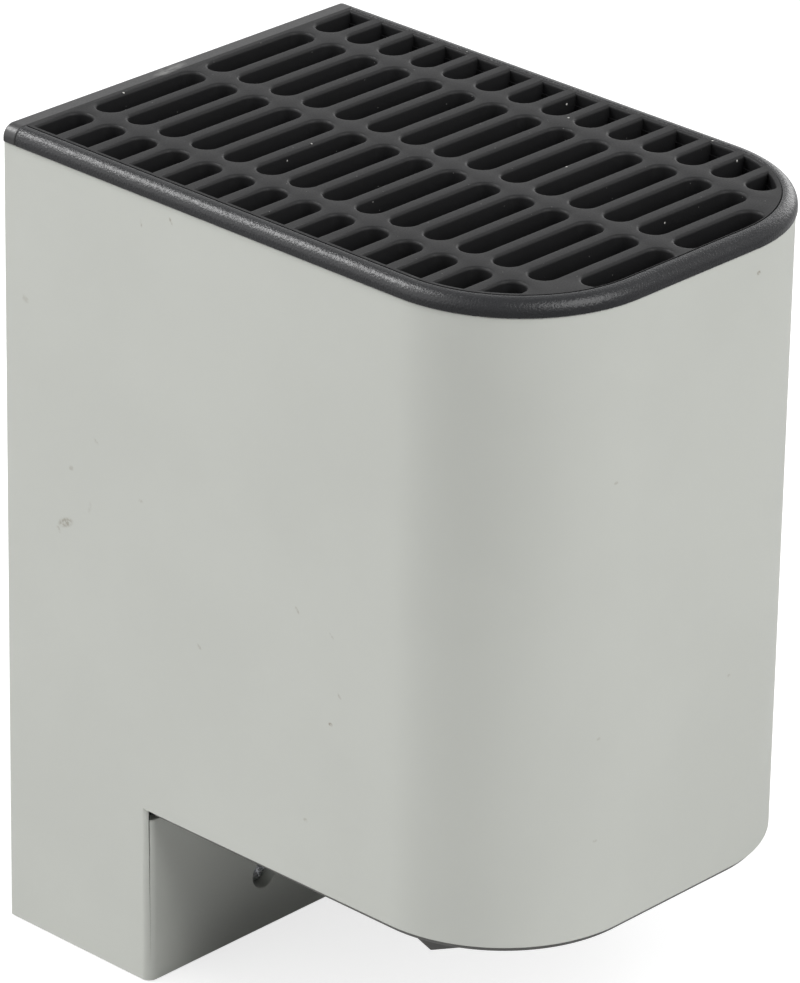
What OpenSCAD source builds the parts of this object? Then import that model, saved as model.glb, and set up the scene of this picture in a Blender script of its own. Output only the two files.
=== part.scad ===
// Fan heater for a control cabinet, held on a 35 mm mounting rail.
// X runs to the right seen from the front, the front face looks towards -Y and Z is up.
// The origin is the middle of the rail seat, on the face of the clip that meets the rail.
// Each module is drawn with y = 0 at the casing's rear face and z = 0 at the bottom of the foot,
// and at_rail() then moves it to the origin on the rail.

/* [Casing] */
// Overall width of the casing
body_w = 83; // [83:1:100]
// Depth from the rear face to the front face
body_d = 119; // [119:1:135]
// Height of the casing's top edge above the bottom of the foot
body_h = 148.5; // [140:0.5:170]
// Radius of the two upright front corners
corner_r = 27; // [22:1:27]
// Thickness of the casing's walls
wall = 2; // [1.6:0.1:2]

/* [Foot] */
// Depth of the terminal foot at the rear
foot_d = 35; // [33:0.5:35]
// Height of the housing's lower edge above the bottom of the foot
foot_h = 34; // [32:1:44]
// Rounding of the foot's upright front edges
foot_edge_r = 1.8; // [1:0.1:1.8]
// Open slot between the foot's front wall and the housing's lower edge
foot_gap = 2.2; // [1.8:0.1:3]
// Distance between the two screw recesses in the foot's front wall
foot_screw_span = 26; // [24:1:34]
// Height of the screw recesses above the bottom of the foot
foot_screw_z = 11; // [9:0.5:12]
// Diameter of the screw recesses
recess_dia = 5.6; // [5.4:0.1:6.4]
// Depth of the screw recesses
recess_depth = 3; // [2.5:0.5:5]

/* [Top grille] */
// Height of the grille above the casing's top edge
rim_h = 3; // [2.6:0.1:4]
// Width of the solid rim around the grille's plate
rim_w = 2.5; // [2.4:0.1:3]
// Rounding of the rim's outer edge
rim_r = 2.3; // [1.5:0.1:2.4]
// Overhang of the rim past the casing
rim_over = 0.3; // [0:0.05:0.5]
// Thickness of the grille's plate
plate_t = 2.2; // [1.6:0.1:2.4]
// Depth of the ribs between the slots below the plate
rib_h = 4; // [0:0.5:5]
// Width of an air slot
slot_w = 5; // [4:0.1:5.4]
// Length of a full air slot
slot_l = 24; // [20:0.5:25]
// Length of the two slots in the front row
front_slot_l = 19.8; // [14:0.2:20]
// Width of the ribs between neighbouring slots
slot_rib = 2.65; // [2:0.05:4]
// Chamfer of the slots' upper edges
slot_edge = 0.6; // [0.2:0.1:0.9]
// Solid margin between the rear face and the first row of slots
slot_margin = 4.2; // [4:0.1:6]
// Distance of the side slots' square ends from the casing's outer face
slot_inset = 3.3; // [3:0.1:5]

/* [Rear panel and clip] */
// Thickness of the rear panel
panel_t = 3; // [2.5:0.1:3.5]
// Thickness of the foot's floor
floor_t = 2.4; // [2:0.1:4]
// Height of the rail's centre line above the bottom of the foot
rail_z = 96; // [94:1:110]
// Height of the mounting rail that the clip grips
rail_h = 35; // [35:0.5:36]
// Thickness of the rail's flanges
rail_t = 1; // [1:0.1:1.5]
// Width of the rail clip
clip_w = 36; // [28:1:46]
// Thickness of the clip's spring steel
clip_t = 1; // [0.8:0.1:1.4]
// Diameter of the cable inlet
inlet_dia = 7; // [5:0.5:9]

/* [Intake guard] */
// Drop of the guard's flange below the housing's lower edge
guard_drop = 1; // [0.6:0.1:1.4]
// Inset of the guard's flange from the casing's outer face
guard_inset = 0.85; // [0.6:0.05:1.4]
// Thickness of the guard's rings and spokes
guard_t = 2; // [1.8:0.1:3]
// Radial pitch of the guard's rings
ring_pitch = 6.2; // [5:0.1:8]
// Drop of the two tapered lugs below the guard
lug_h = 3.5; // [2:0.1:5]
// Length of each lug's lower edge
lug_l = 9; // [6:0.5:12]

/* [Fan] */
// Gap between the fan's front corners and the casing's round corners
fan_corner_gap = 1.96; // [1.5:0.02:4]
// Thickness of the fan
fan_t = 25; // [25:1:32]
// Distance of the fan's corner holes from its sides
fan_hole_inset = 5; // [4.5:0.1:6]
// Diameter of the impeller's hub
hub_dia = 33; // [30:1:36]
// Number of impeller blades
blade_count = 7; // [5:1:9]
// Running gap between the blade tips and the fan's bore
tip_gap = 0.9; // [0.6:0.1:2]
// Diameter of the fan's shaft
shaft_dia = 2; // [1.5:0.1:2.5]
// Running clearance between the shaft and its bearings
shaft_fit = 0.02; // [0.01:0.01:0.1]

/* [Heating element] */
// Height of the element's tray above the bottom of the foot
tray_z = 76; // [74:1:80]
// Thickness of the tray's sheet
tray_t = 1; // [0.8:0.1:1.5]
// Gap between the element's frame and the heads of the tray's screws
element_gap = 1.05; // [0.8:0.05:3]
// Height of the fin packs and heating bars
core_h = 14; // [10:1:20]
// Width of one heating bar
bar_w = 6; // [5:0.5:6]
// Inset of the outer fin packs from the fan's front and rear sides
element_inset = 8; // [7:0.5:10]
// Pitch of the folded fins
fin_pitch = 3.2; // [2.4:0.1:5]
// Thickness of the fin sheet
fin_t = 0.3; // [0.2:0.05:0.5]

/* [Clearances] */
// Clearance between pieces that push together
fit = 0.15; // [0.1:0.05:0.3]
// Radial clearance of a screw in its pilot hole
thread_fit = 0.05; // [0.05:0.01:0.1]

/* [Hidden] */
$fn = 64;

casing_grey = [0.76, 0.77, 0.74];
grille_black = [0.17, 0.17, 0.17];
guard_grey = [0.22, 0.22, 0.22];
fan_black = [0.1, 0.1, 0.1];
spring_steel = [0.62, 0.63, 0.65];
screw_steel = [0.7, 0.71, 0.72];
copper = [0.72, 0.42, 0.24];
brass = [0.78, 0.64, 0.35];
aluminium = [0.8, 0.81, 0.82];

eps = 0.01;
over = 1;
half_w = body_w / 2;
inner_w = body_w - 2 * wall;
corner_y = -(body_d - corner_r);

// Screws shared by several joints
screw_r = 1.5;
head_r = 2.5;
head_h = 1.6;
cross_l = 3;
cross_w = 0.7;
boss_r = 3.2;
pilot_r = screw_r + thread_fit;
foot_screw_grip = 9;
tray_screw_gap = 3;

// Foot and rear panel
foot_inner_y = -(foot_d - wall);
recess_wall = 1.2;
recess_floor = 1.6;
recess_end_y = -foot_d + recess_depth + recess_floor;
stop_t = 2;
stop_end_gap = 10;
panel_w = inner_w - 2 * fit;
seam = 0.12;
grille_rear = panel_t + seam;
grommet_wall = 1.5;
grommet_neck_r = inlet_dia / 2 + grommet_wall;
grommet_lip_r = grommet_neck_r + grommet_wall;
grommet_lip_t = 1.2;

// Top grille
skirt_t = 1.5;
skirt_h = 6;
plate_lap = 0.5;
slot_depth = plate_t + rib_h;
slot_pitch_x = slot_l + slot_rib;
slot_pitch_y = slot_w + slot_rib;
field_front = body_d - rim_w;
slot_rows = floor((field_front - slot_margin + slot_rib) / slot_pitch_y);

// Rail clip
rail_fit = 0.2;
hook_gap = rail_t + rail_fit;
hook_z = rail_h / 2 + rail_fit;
hook_l = 4.5;
hook_far = clip_t + hook_gap;
bend_r = hook_gap / 2;
release_l = 6;
clip_screw_span = 12;
clip_screw_grip = 5;
clip_slot_w = 2;
clip_slot_l = 8;

// Fan, with its intake side down on the guard: the largest square that fits the casing
fan_rear_gap = 0.5;
fan_side_gap = 0.5;
fan_corner_r = 4;
fan_rear = -(foot_d + fan_rear_gap);
fan_side_w = inner_w - 2 * (fit + skirt_t + fan_side_gap);
corner_a = half_w - corner_r + fan_corner_r;
corner_b = fan_rear - corner_y + fan_corner_r;
corner_reach = corner_r - wall - fan_corner_r - fan_corner_gap;
corner_sum = corner_a + 2 * corner_b;
corner_rest = pow(corner_a, 2) + pow(corner_b, 2) - pow(corner_reach, 2);
fan_w = min(fan_side_w, (corner_sum + sqrt(pow(corner_sum, 2) - 5 * corner_rest)) / 2.5);
fan_hole_span = fan_w - 2 * fan_hole_inset;
fan_y = fan_rear - fan_w / 2;
fan_z = foot_h - guard_drop + guard_t;
fan_flange_t = 4;
fan_wall = 1.8;
duct_inset = 0.2;
fan_bore_r = fan_w / 2 - fan_wall;
hub_r = hub_dia / 2;
cup_wall = 1.5;
cup_z = 2.5;
cup_cap = 2;
cup_gap = 1;
base_t = 2;
base_back = 2;
base_z = fan_t - base_t - base_back;
cup_h = base_z - cup_z - cup_gap;
tube_gap = 1.2;
tube_z = cup_z + cup_cap + tube_gap;
tube_r = 4;
bearing_r = 3;
bearing_l = 3.5;
bearing_step = 1;
shaft_r = shaft_dia / 2;
magnet_t = 1.7;
magnet_end_gap = 1;
magnet_r = hub_r - cup_wall - fit;
air_gap = 0.5;
stator_r = magnet_r - magnet_t - air_gap;
stator_step = 1.6;
stator_z = tube_z + stator_step;
stator_ring = 2;
stator_h = 8;
coil_z = 1.2;
pole_w = 3;
pole_shoe = 1.6;
shoe_w = 2.6 * pole_w;
coil_w = 2.4 * pole_w;
board_gap = 0.4;
board_z = stator_z + stator_h + coil_z + board_gap;
board_t = 1;
blade_t = 1.4;
blade_inset = 0.6;
blade_root = 0.4;
blade_h = cup_h - 2.5 * blade_inset;
hub_boss_h = 0.8;
shaft_back = 0.6;
strut_w = 3;
strut_root = 2;
blade_camber_r = 24;
blade_pitch = 38;

// Intake guard
guard_thread = 1.4;
guard_skirt_h = 6;
guard_ring_w = 1.6;
guard_spoke_w = 2.4;
guard_centre_r = 7;
tongue_l = 1;
lug_t = 2;
lug_turn = -35;
lug_x = -half_w + 2.05;
lug_y = corner_y - 2.6;

// Heating element
bars = 3;
packs = bars + 1;
core_w = fan_w - 2 * element_inset;
fin_w = (core_w - bars * bar_w) / packs;
pack_w = fin_w - 2 * eps;
frame_wall = 4;
frame_lip = 1.5;
frame_lip_t = 1.2;
frame_cap = 0.8;
tray_boss_h = 10;
tray_boss_x = half_w - wall - head_r - 2 * fit;
tray_boss_y = [-20, corner_y + 2];
frame_l = 2 * (tray_boss_x - head_r - element_gap);
core_l = frame_l - 2 * (frame_wall + fit);
frame_w = core_w + 2 * (frame_wall + fit);
frame_z = tray_z + tray_t;
frame_h = frame_lip_t + core_h + frame_cap;
core_z = frame_z + frame_lip_t;
fin_crest = 0.5;
tab_w = 4.8;
tab_t = 0.8;
tab_h = 8;
tab_x = core_l / 2 + fit + frame_wall / 2;
tab_y = [fan_y - fin_w, fan_y + fin_w];
tab_top = frame_z + frame_h + tab_h;
limiter_y = -24;
limiter_r = 7.5;
limiter_h = 6;
limiter_flange_l = 26;
limiter_flange_w = 8;
limiter_tab_x = 4;
limiter_top = tray_z + tray_t + limiter_h + tab_h;
lead_hole_x = 14;
lead_hole_y = -13;
lead_hole_r = 3;

// Terminal block on the rear panel, over the cable inlet
block_w = 24;
block_d = 15;
block_h = 14;
block_gap = 2;
block_z = foot_screw_z + boss_r + block_gap;
block_top = block_z + block_h;
pole_x = 6;
pole_y = -panel_t - block_d / 2;
clamp_r = 2.6;
clamp_wall = 1;
clamp_screw_r = 1.4;
clamp_screw_sink = 1;
clamp_screw_bite = 1.2;
clamp_screw_end = -block_d / 2 - clamp_r + clamp_screw_bite;
screw_slot_w = 0.5;
screw_slot_d = 0.7;

// Leads, from one terminal to the next by way of the holes in the tray
lead_r = 1.1;
lead_sides = 8;
off_axis = [0.31, 0.77, 0.56];
lead_grip = 6;
lead_rise = 10;
lead_arch = 5;
lead_live_route = [[-pole_x, pole_y, block_top - lead_grip], [-pole_x, pole_y, block_top + lead_rise],
    [-lead_hole_x, lead_hole_y, tray_z - 2 * lead_rise], [-lead_hole_x, lead_hole_y, tray_z + lead_rise],
    [-limiter_tab_x - lead_arch, limiter_y + lead_arch, limiter_top + lead_arch],
    [-limiter_tab_x, limiter_y, limiter_top + lead_arch], [-limiter_tab_x, limiter_y, limiter_top]];
lead_neutral_route = [[pole_x, pole_y, block_top - lead_grip], [pole_x, pole_y, block_top + lead_rise],
    [lead_hole_x, lead_hole_y, tray_z - 2 * lead_rise], [lead_hole_x, lead_hole_y, tray_z + lead_rise],
    [tab_x - lead_arch, limiter_y, tab_top], [tab_x, tab_y[1] + lead_arch, tab_top + lead_arch],
    [tab_x, tab_y[1], tab_top + lead_arch], [tab_x, tab_y[1], tab_top]];
lead_link_route = [[limiter_tab_x, limiter_y, limiter_top],
    [limiter_tab_x, limiter_y, limiter_top + lead_arch],
    [limiter_tab_x + 2 * lead_arch, limiter_y - lead_rise, tab_top + lead_arch / 2],
    [tab_x - lead_arch / 2, tab_y[1], tab_top + 2 * lead_arch],
    [tab_x, tab_y[0] + lead_arch / 2, tab_top + 2 * lead_arch],
    [tab_x, tab_y[0], tab_top + lead_arch], [tab_x, tab_y[0], tab_top]];
fan_lead_x = -fan_w / 2 + 8;
fan_lead_z = fan_z + fan_t - fan_flange_t - lead_r - thread_fit;
fan_lead_route = [[fan_lead_x, fan_rear - lead_arch / 2, fan_lead_z],
    [fan_lead_x, fan_rear + lead_arch, fan_lead_z],
    [-lead_hole_x, lead_hole_y - lead_arch, block_top + 2 * lead_rise],
    [-block_w / 2 + lead_r, pole_y, block_top + lead_rise], [-block_w / 2 + lead_r, pole_y, block_top]];

// Moves a piece from the drawing's frame to the origin on the rail
module at_rail() {
    translate([0, -clip_t, -rail_z]) children();
}

// Plan of the casing at an inset, with round front corners and a straight rear edge
module outline(inset, rear = 0) {
    w = body_w - 2 * inset;
    r = corner_r - inset;
    translate([-w / 2, corner_y]) square([w, -corner_y - rear]);
    translate([-w / 2 + r, corner_y - r]) square([w - 2 * r, r + over]);
    for (side = [-1, 1]) {
        translate([side * (w / 2 - r), corner_y]) circle(r);
    }
}

// Plan of the space inside the walls, open past the rear face
module cavity(inset) {
    outline(inset);
    translate([-half_w + inset, -over]) square([body_w - 2 * inset, 2 * over]);
}

// Plan of the foot with its two rounded front edges
module foot_plan() {
    translate([-half_w, -foot_d + foot_edge_r]) square([body_w, foot_d - foot_edge_r]);
    translate([-half_w + foot_edge_r, -foot_d]) square([body_w - 2 * foot_edge_r, foot_d]);
    for (side = [-1, 1]) {
        translate([side * (half_w - foot_edge_r), -foot_d + foot_edge_r]) circle(foot_edge_r);
    }
}

// Cylinder along the depth, from y = y0 to y = y1
module depth_rod(r, y0, y1) {
    translate([0, y0, 0]) rotate([-90, 0, 0]) cylinder(r = r, h = y1 - y0);
}

// Pan head screw along Z with its head's seat at z = 0 and its shank upwards
module screw_up(r, l, head, height) {
    translate([0, 0, -eps]) cylinder(r = r, h = l + eps);
    difference() {
        translate([0, 0, -height]) cylinder(r = head, h = height);
        for (turn = [0, 90]) {
            rotate([0, 0, turn]) translate([-cross_l / 2, -cross_w / 2, -height - eps])
                cube([cross_l, cross_w, height / 2]);
        }
    }
}

// One moulded shell: round-cornered walls over the foot's three walls
module casing() {
    at_rail() color(casing_grey) {
        difference() {
            union() {
                casing_walls();
                foot_walls();
                panel_stops();
                tray_bosses();
            }
            recess_holes();
        }
    }
}

module casing_walls() {
    translate([0, 0, foot_h]) linear_extrude(body_h - foot_h) difference() {
        outline(0);
        cavity(wall);
    }
}

// Side and front walls of the foot, with the front wall kept below the housing
module foot_walls() {
    linear_extrude(foot_h - foot_gap) difference() {
        foot_plan();
        translate([-inner_w / 2, foot_inner_y]) square([inner_w, foot_d]);
    }
    translate([0, 0, foot_h - foot_gap - eps]) linear_extrude(foot_gap + 2 * eps) difference() {
        foot_plan();
        translate([-inner_w / 2, -foot_d - over]) square([inner_w, foot_d + 2 * over]);
    }
    for (side = [-1, 1]) {
        translate([side * foot_screw_span / 2, 0, foot_screw_z])
            depth_rod(recess_dia / 2 + recess_wall, -foot_d + wall / 2, recess_end_y);
    }
}

module recess_holes() {
    for (side = [-1, 1]) {
        translate([side * foot_screw_span / 2, 0, foot_screw_z]) {
            depth_rod(recess_dia / 2, -foot_d - over, -foot_d + recess_depth);
            depth_rod(pilot_r + fit, -foot_d, recess_end_y + over);
        }
    }
}

// Upright ribs that the rear panel closes against
module panel_stops() {
    for (side = [-1, 1]) {
        translate([side * (half_w - wall), -panel_t - stop_t / 2, (foot_h + body_h - stop_end_gap) / 2])
            cube([2 * stop_t, stop_t, body_h - stop_end_gap - foot_h], center = true);
    }
}

// Bosses on the side walls that carry the element's tray
module tray_bosses() {
    for (side = [-1, 1], y = tray_boss_y) {
        translate([side * tray_boss_x, y, tray_z - tray_boss_h]) difference() {
            cylinder(r = boss_r, h = tray_boss_h);
            translate([0, 0, tray_screw_gap / 2]) cylinder(r = pilot_r, h = tray_boss_h);
        }
    }
}

// Black outlet grille: bullnose rim, slotted plate and a skirt inside the walls
module top_grille() {
    at_rail() color(grille_black) translate([0, 0, body_h]) {
        rim();
        grille_plate();
        skirt(-skirt_h, rim_h - plate_t + skirt_h + eps, grille_rear);
    }
}

// Section of the rim, x inwards from the casing's outer face and y up from its top edge
module rim_section() {
    difference() {
        translate([-rim_over, 0]) square([rim_w + rim_over, rim_h]);
        difference() {
            translate([-rim_over - over, rim_h - rim_r]) square([rim_r + over, rim_r + over]);
            translate([rim_r - rim_over, rim_h - rim_r]) circle(rim_r);
        }
    }
}

module rim() {
    side_l = -corner_y - grille_rear;
    for (turn = [0, 1]) {
        mirror([turn, 0, 0]) {
            translate([-half_w, -grille_rear, 0]) rotate([90, 0, 0]) linear_extrude(side_l) rim_section();
            translate([-half_w + corner_r, corner_y, 0]) rotate([0, 0, 180]) rotate_extrude(angle = 90)
                translate([corner_r, 0]) mirror([1, 0]) rim_section();
        }
    }
    translate([-half_w + corner_r, -body_d, 0]) rotate([90, 0, 90])
        linear_extrude(body_w - 2 * corner_r) rim_section();
}

module grille_plate() {
    translate([0, 0, rim_h]) difference() {
        union() {
            translate([0, 0, -plate_t]) linear_extrude(plate_t) outline(rim_w - plate_lap, grille_rear);
            translate([0, 0, -slot_depth]) linear_extrude(slot_depth - plate_t + eps)
                outline(wall + fit + skirt_t / 2, grille_rear);
        }
        for (row = [0 : slot_rows - 2]) {
            full_row(row);
        }
        front_row(slot_rows - 1);
    }
}

// Cutter of one slot with round ends, from x = x0 to x = x1 about y = 0, its top edges chamfered
module slot(x0, x1) {
    r = slot_w / 2;
    low = -slot_depth - over;
    section = [[-r, low], [r, low], [r, -slot_edge], [r + slot_edge, 0],
        [r + slot_edge, over], [-r - slot_edge, over], [-r - slot_edge, 0], [-r, -slot_edge]];
    translate([x0 + r, 0, 0]) rotate([90, 0, 90]) linear_extrude(x1 - x0 - slot_w) polygon(section);
    for (x = [x0 + r, x1 - r]) {
        translate([x, 0, 0]) {
            translate([0, 0, low]) cylinder(r = r, h = -low);
            translate([0, 0, -slot_edge]) cylinder(r1 = r, r2 = r + slot_edge, h = slot_edge);
            cylinder(r = r + slot_edge, h = over);
        }
    }
}

function row_y(row) = -slot_margin - slot_w / 2 - row * slot_pitch_y;

// Two full slots about the middle rib and two side slots that end at the rim
module full_row(row) {
    for (turn = [0, 1]) {
        mirror([turn, 0, 0]) translate([0, row_y(row), 0]) slot(slot_rib / 2, slot_rib / 2 + slot_l);
    }
    intersection() {
        translate([0, 0, -slot_depth - 2 * over]) linear_extrude(slot_depth + 4 * over)
            outline(slot_inset, grille_rear);
        for (turn = [0, 1]) {
            mirror([turn, 0, 0]) translate([0, row_y(row), 0]) slot(slot_rib / 2 + slot_pitch_x, body_w);
        }
    }
}

module front_row(row) {
    for (turn = [0, 1]) {
        mirror([turn, 0, 0]) translate([0, row_y(row), 0]) slot(slot_rib / 2, slot_rib / 2 + front_slot_l);
    }
}

// Thin wall that stands inside the casing's walls
module skirt(z, h, rear) {
    translate([0, 0, z]) linear_extrude(h) difference() {
        outline(wall + fit, rear);
        cavity(wall + fit + skirt_t);
    }
}

// Back cover with the grille's rear edge on top and the foot's floor below
module rear_panel() {
    at_rail() color(grille_black) difference() {
        union() {
            translate([-panel_w / 2, -panel_t, 0]) cube([panel_w, panel_t, body_h + eps]);
            panel_crown();
            translate([-panel_w / 2, foot_inner_y + fit, 0])
                cube([panel_w, -foot_inner_y - fit, floor_t]);
            panel_bosses();
        }
        for (side = [-1, 1]) {
            translate([side * foot_screw_span / 2, 0, foot_screw_z])
                depth_rod(pilot_r, recess_end_y - over, -panel_t);
            translate([0, 0, rail_z + side * clip_screw_span / 2])
                depth_rod(pilot_r, -panel_t - 2 * boss_r, over);
        }
        translate([0, -foot_d / 2, -over]) cylinder(r = grommet_neck_r + fit, h = floor_t + 2 * over);
    }
}

module panel_crown() {
    translate([0, 0, body_h]) for (turn = [0, 1]) {
        mirror([turn, 0, 0]) translate([-half_w, 0, 0]) rotate([90, 0, 0]) linear_extrude(panel_t) {
            rim_section();
            translate([rim_w - eps, 0]) square([half_w - rim_w + 2 * eps, rim_h]);
        }
    }
}

// Long bosses for the casing's screws and short ones for the clip's screws
module panel_bosses() {
    for (side = [-1, 1]) {
        translate([side * foot_screw_span / 2, 0, foot_screw_z])
            depth_rod(boss_r, recess_end_y + fit, -panel_t / 2);
        translate([0, 0, rail_z + side * clip_screw_span / 2])
            depth_rod(boss_r, -panel_t - 2 * boss_r, -panel_t / 2);
    }
}

// Rubber inlet for the cable, snapped into the foot's floor
module cable_grommet() {
    at_rail() color(grille_black) translate([0, -foot_d / 2, 0]) difference() {
        union() {
            cylinder(r = grommet_neck_r, h = floor_t + fit);
            translate([0, 0, floor_t + fit]) cylinder(r = grommet_lip_r, h = grommet_lip_t);
        }
        translate([0, 0, -over]) cylinder(r = inlet_dia / 2, h = floor_t + grommet_lip_t + 3 * over);
    }
}

// Spring steel clip: a flat back with a hook above the rail and a sprung hook with a tab below it
module din_rail_clip() {
    at_rail() color(spring_steel) translate([0, 0, rail_z]) difference() {
        translate([-clip_w / 2, 0, 0]) rotate([90, 0, 90]) linear_extrude(clip_w) clip_section();
        for (side = [-1, 1]) {
            translate([0, 0, side * clip_screw_span / 2])
                depth_rod(screw_r + fit, -over, clip_t + over);
            translate([side * clip_w / 4 - clip_slot_w / 2, -over, -hook_z + 2 * bend_r])
                cube([clip_slot_w, clip_t + over + eps, clip_slot_l]);
        }
    }
}

module clip_section() {
    translate([0, -hook_z]) square([clip_t, 2 * hook_z]);
    for (turn = [0, 1]) {
        mirror([0, turn]) {
            translate([clip_t + bend_r, hook_z]) intersection() {
                difference() {
                    circle(bend_r + clip_t);
                    circle(bend_r);
                }
                translate([-bend_r - clip_t, 0]) square(2 * (bend_r + clip_t));
            }
            translate([hook_far, hook_z - hook_l]) square([clip_t, hook_l]);
        }
    }
    translate([hook_far, -hook_z - release_l]) square([clip_t, release_l]);
}

module clip_screws() {
    at_rail() color(screw_steel) for (side = [-1, 1]) {
        translate([0, clip_t, rail_z + side * clip_screw_span / 2]) rotate([90, 0, 0])
            screw_up(screw_r, clip_t + panel_t + clip_screw_grip, head_r, head_h);
    }
}

// Screws through the foot's front wall into the rear panel's long bosses
module casing_screws() {
    at_rail() color(screw_steel) for (side = [-1, 1]) {
        translate([side * foot_screw_span / 2, -foot_d + recess_depth, foot_screw_z]) rotate([-90, 0, 0])
            screw_up(screw_r, recess_floor + foot_screw_grip, head_r, head_h);
    }
}

// Bottom plate that closes the housing, with a ring guard under the fan
module intake_guard() {
    at_rail() color(guard_grey) difference() {
        union() {
            guard_plate();
            skirt(foot_h, guard_skirt_h, foot_d + fit);
            guard_lugs();
        }
        translate([0, fan_y, 0]) fan_corners() {
            translate([0, 0, fan_z - guard_thread]) cylinder(r = pilot_r, h = guard_t);
        }
    }
}

// Flange under the walls, plate between them and a tongue over the foot's front wall
module guard_plate() {
    translate([0, 0, foot_h - guard_drop]) linear_extrude(guard_drop) difference() {
        outline(guard_inset, foot_d + fit);
        translate([0, fan_y]) circle(fan_bore_r);
    }
    translate([0, 0, foot_h - guard_drop]) linear_extrude(guard_t) {
        difference() {
            union() {
                outline(wall + fit, foot_d + fit);
                translate([-inner_w / 2 + fit, -foot_d - tongue_l])
                    square([inner_w - 2 * fit, wall + tongue_l]);
            }
            translate([0, fan_y]) circle(fan_bore_r);
        }
        translate([0, fan_y]) guard_rings();
    }
}

// Plan of the finger guard: a centre disc, rings and three bars across the fan's bore
module guard_rings() {
    circle(guard_centre_r);
    for (r = [guard_centre_r + ring_pitch : ring_pitch : fan_bore_r - guard_ring_w]) {
        difference() {
            circle(r + guard_ring_w / 2);
            circle(r - guard_ring_w / 2);
        }
    }
    for (turn = [0 : 60 : 120]) {
        rotate(turn) square([2 * fan_bore_r + guard_ring_w, guard_spoke_w], center = true);
    }
}

// Tapered lug under each front corner, with sides at 45 degrees
module guard_lugs() {
    for (turn = [0, 1]) {
        mirror([turn, 0, 0]) translate([lug_x, lug_y, foot_h - guard_drop]) rotate([0, 0, lug_turn])
            translate([0, lug_t, 0]) rotate([90, 0, 0]) linear_extrude(lug_t)
                polygon([[0, eps], [lug_h, -lug_h], [lug_h + lug_l, -lug_h], [2 * lug_h + lug_l, eps]]);
    }
}

// Places its children at the fan's four corner holes
module fan_corners() {
    for (x = [-1, 1], y = [-1, 1]) {
        translate([x * fan_hole_span / 2, y * fan_hole_span / 2, 0]) children();
    }
}

module at_fan() {
    at_rail() translate([0, fan_y, fan_z]) children();
}

module rounded_square(w, r) {
    square([w - 2 * r, w], center = true);
    square([w, w - 2 * r], center = true);
    for (x = [-1, 1], y = [-1, 1]) {
        translate([x * (w / 2 - r), y * (w / 2 - r)]) circle(r);
    }
}

// Square fan frame with two flanges, a round duct and a motor base on four struts
module fan_frame() {
    at_fan() color(fan_black) difference() {
        union() {
            difference() {
                union() {
                    for (z = [0, fan_t - fan_flange_t]) {
                        translate([0, 0, z]) linear_extrude(fan_flange_t)
                            rounded_square(fan_w, fan_corner_r);
                    }
                    cylinder(r = fan_bore_r + fan_wall - duct_inset, h = fan_t);
                }
                translate([0, 0, -over]) cylinder(r = fan_bore_r, h = fan_t + 2 * over);
            }
            motor_base();
        }
        fan_corners() translate([0, 0, -over]) cylinder(r = pilot_r, h = fan_t + 2 * over);
    }
}

module motor_base() {
    translate([0, 0, base_z]) cylinder(r = hub_r - air_gap, h = base_t);
    difference() {
        translate([0, 0, tube_z]) cylinder(r = tube_r, h = base_z - tube_z + eps);
        translate([0, 0, tube_z - over])
            cylinder(r = bearing_r + thread_fit, h = base_z - tube_z + over);
    }
    for (turn = [45 : 90 : 315]) {
        rotate([0, 0, turn]) translate([hub_r - strut_root, -strut_w / 2, base_z])
            cube([fan_bore_r - hub_r + strut_root + fan_wall / 3, strut_w, base_t]);
    }
}

// Laminated core with four poles
module fan_stator() {
    at_fan() color(screw_steel) translate([0, 0, stator_z]) linear_extrude(stator_h) difference() {
        union() {
            circle(tube_r + stator_ring);
            difference() {
                intersection() {
                    circle(stator_r);
                    for (turn = [0, 90]) {
                        rotate(turn) square([2 * stator_r, shoe_w], center = true);
                    }
                }
                circle(stator_r - pole_shoe);
            }
            for (turn = [0, 90]) {
                rotate(turn) square([2 * (stator_r - pole_shoe / 2), pole_w], center = true);
            }
        }
        circle(tube_r + thread_fit);
    }
}

// Copper windings around the four poles
module stator_coils() {
    coil_end = sqrt(pow(stator_r - pole_shoe, 2) - pow(coil_w / 2, 2)) - fit;
    coil_l = coil_end - tube_r - stator_ring - fit;
    at_fan() color(copper) for (turn = [0 : 90 : 270]) {
        rotate([0, 0, turn]) translate([tube_r + stator_ring + fit, 0, stator_z - coil_z]) difference() {
            translate([0, -coil_w / 2, 0]) cube([coil_l, coil_w, stator_h + 2 * coil_z]);
            translate([-1, -pole_w / 2 - thread_fit, coil_z - thread_fit])
                cube([coil_l + 2 * over, pole_w + 2 * thread_fit, stator_h + 2 * thread_fit]);
        }
    }
}

module fan_board() {
    at_fan() color("darkgreen") translate([0, 0, board_z]) difference() {
        cylinder(r = stator_r, h = board_t);
        translate([0, 0, -over]) cylinder(r = tube_r + thread_fit, h = board_t + 2 * over);
    }
}

module fan_bearings() {
    at_fan() color(brass) for (z = [tube_z, base_z - bearing_l - bearing_step]) {
        translate([0, 0, z]) difference() {
            cylinder(r = bearing_r, h = bearing_l);
            translate([0, 0, -over]) cylinder(r = shaft_r + shaft_fit, h = bearing_l + 2 * over);
        }
    }
}

// Cup-shaped hub with cambered blades
module fan_impeller() {
    at_fan() color(fan_black) difference() {
        union() {
            difference() {
                translate([0, 0, cup_z]) cylinder(r = hub_r, h = cup_h);
                translate([0, 0, cup_z + cup_cap]) cylinder(r = hub_r - cup_wall, h = cup_h);
            }
            translate([0, 0, cup_z]) cylinder(r = bearing_r, h = cup_cap + hub_boss_h);
            for (i = [0 : blade_count - 1]) {
                rotate([0, 0, i * 360 / blade_count]) blade();
            }
        }
        translate([0, 0, cup_z + hub_boss_h]) cylinder(r = shaft_r + shaft_fit, h = fan_t);
    }
}

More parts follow.
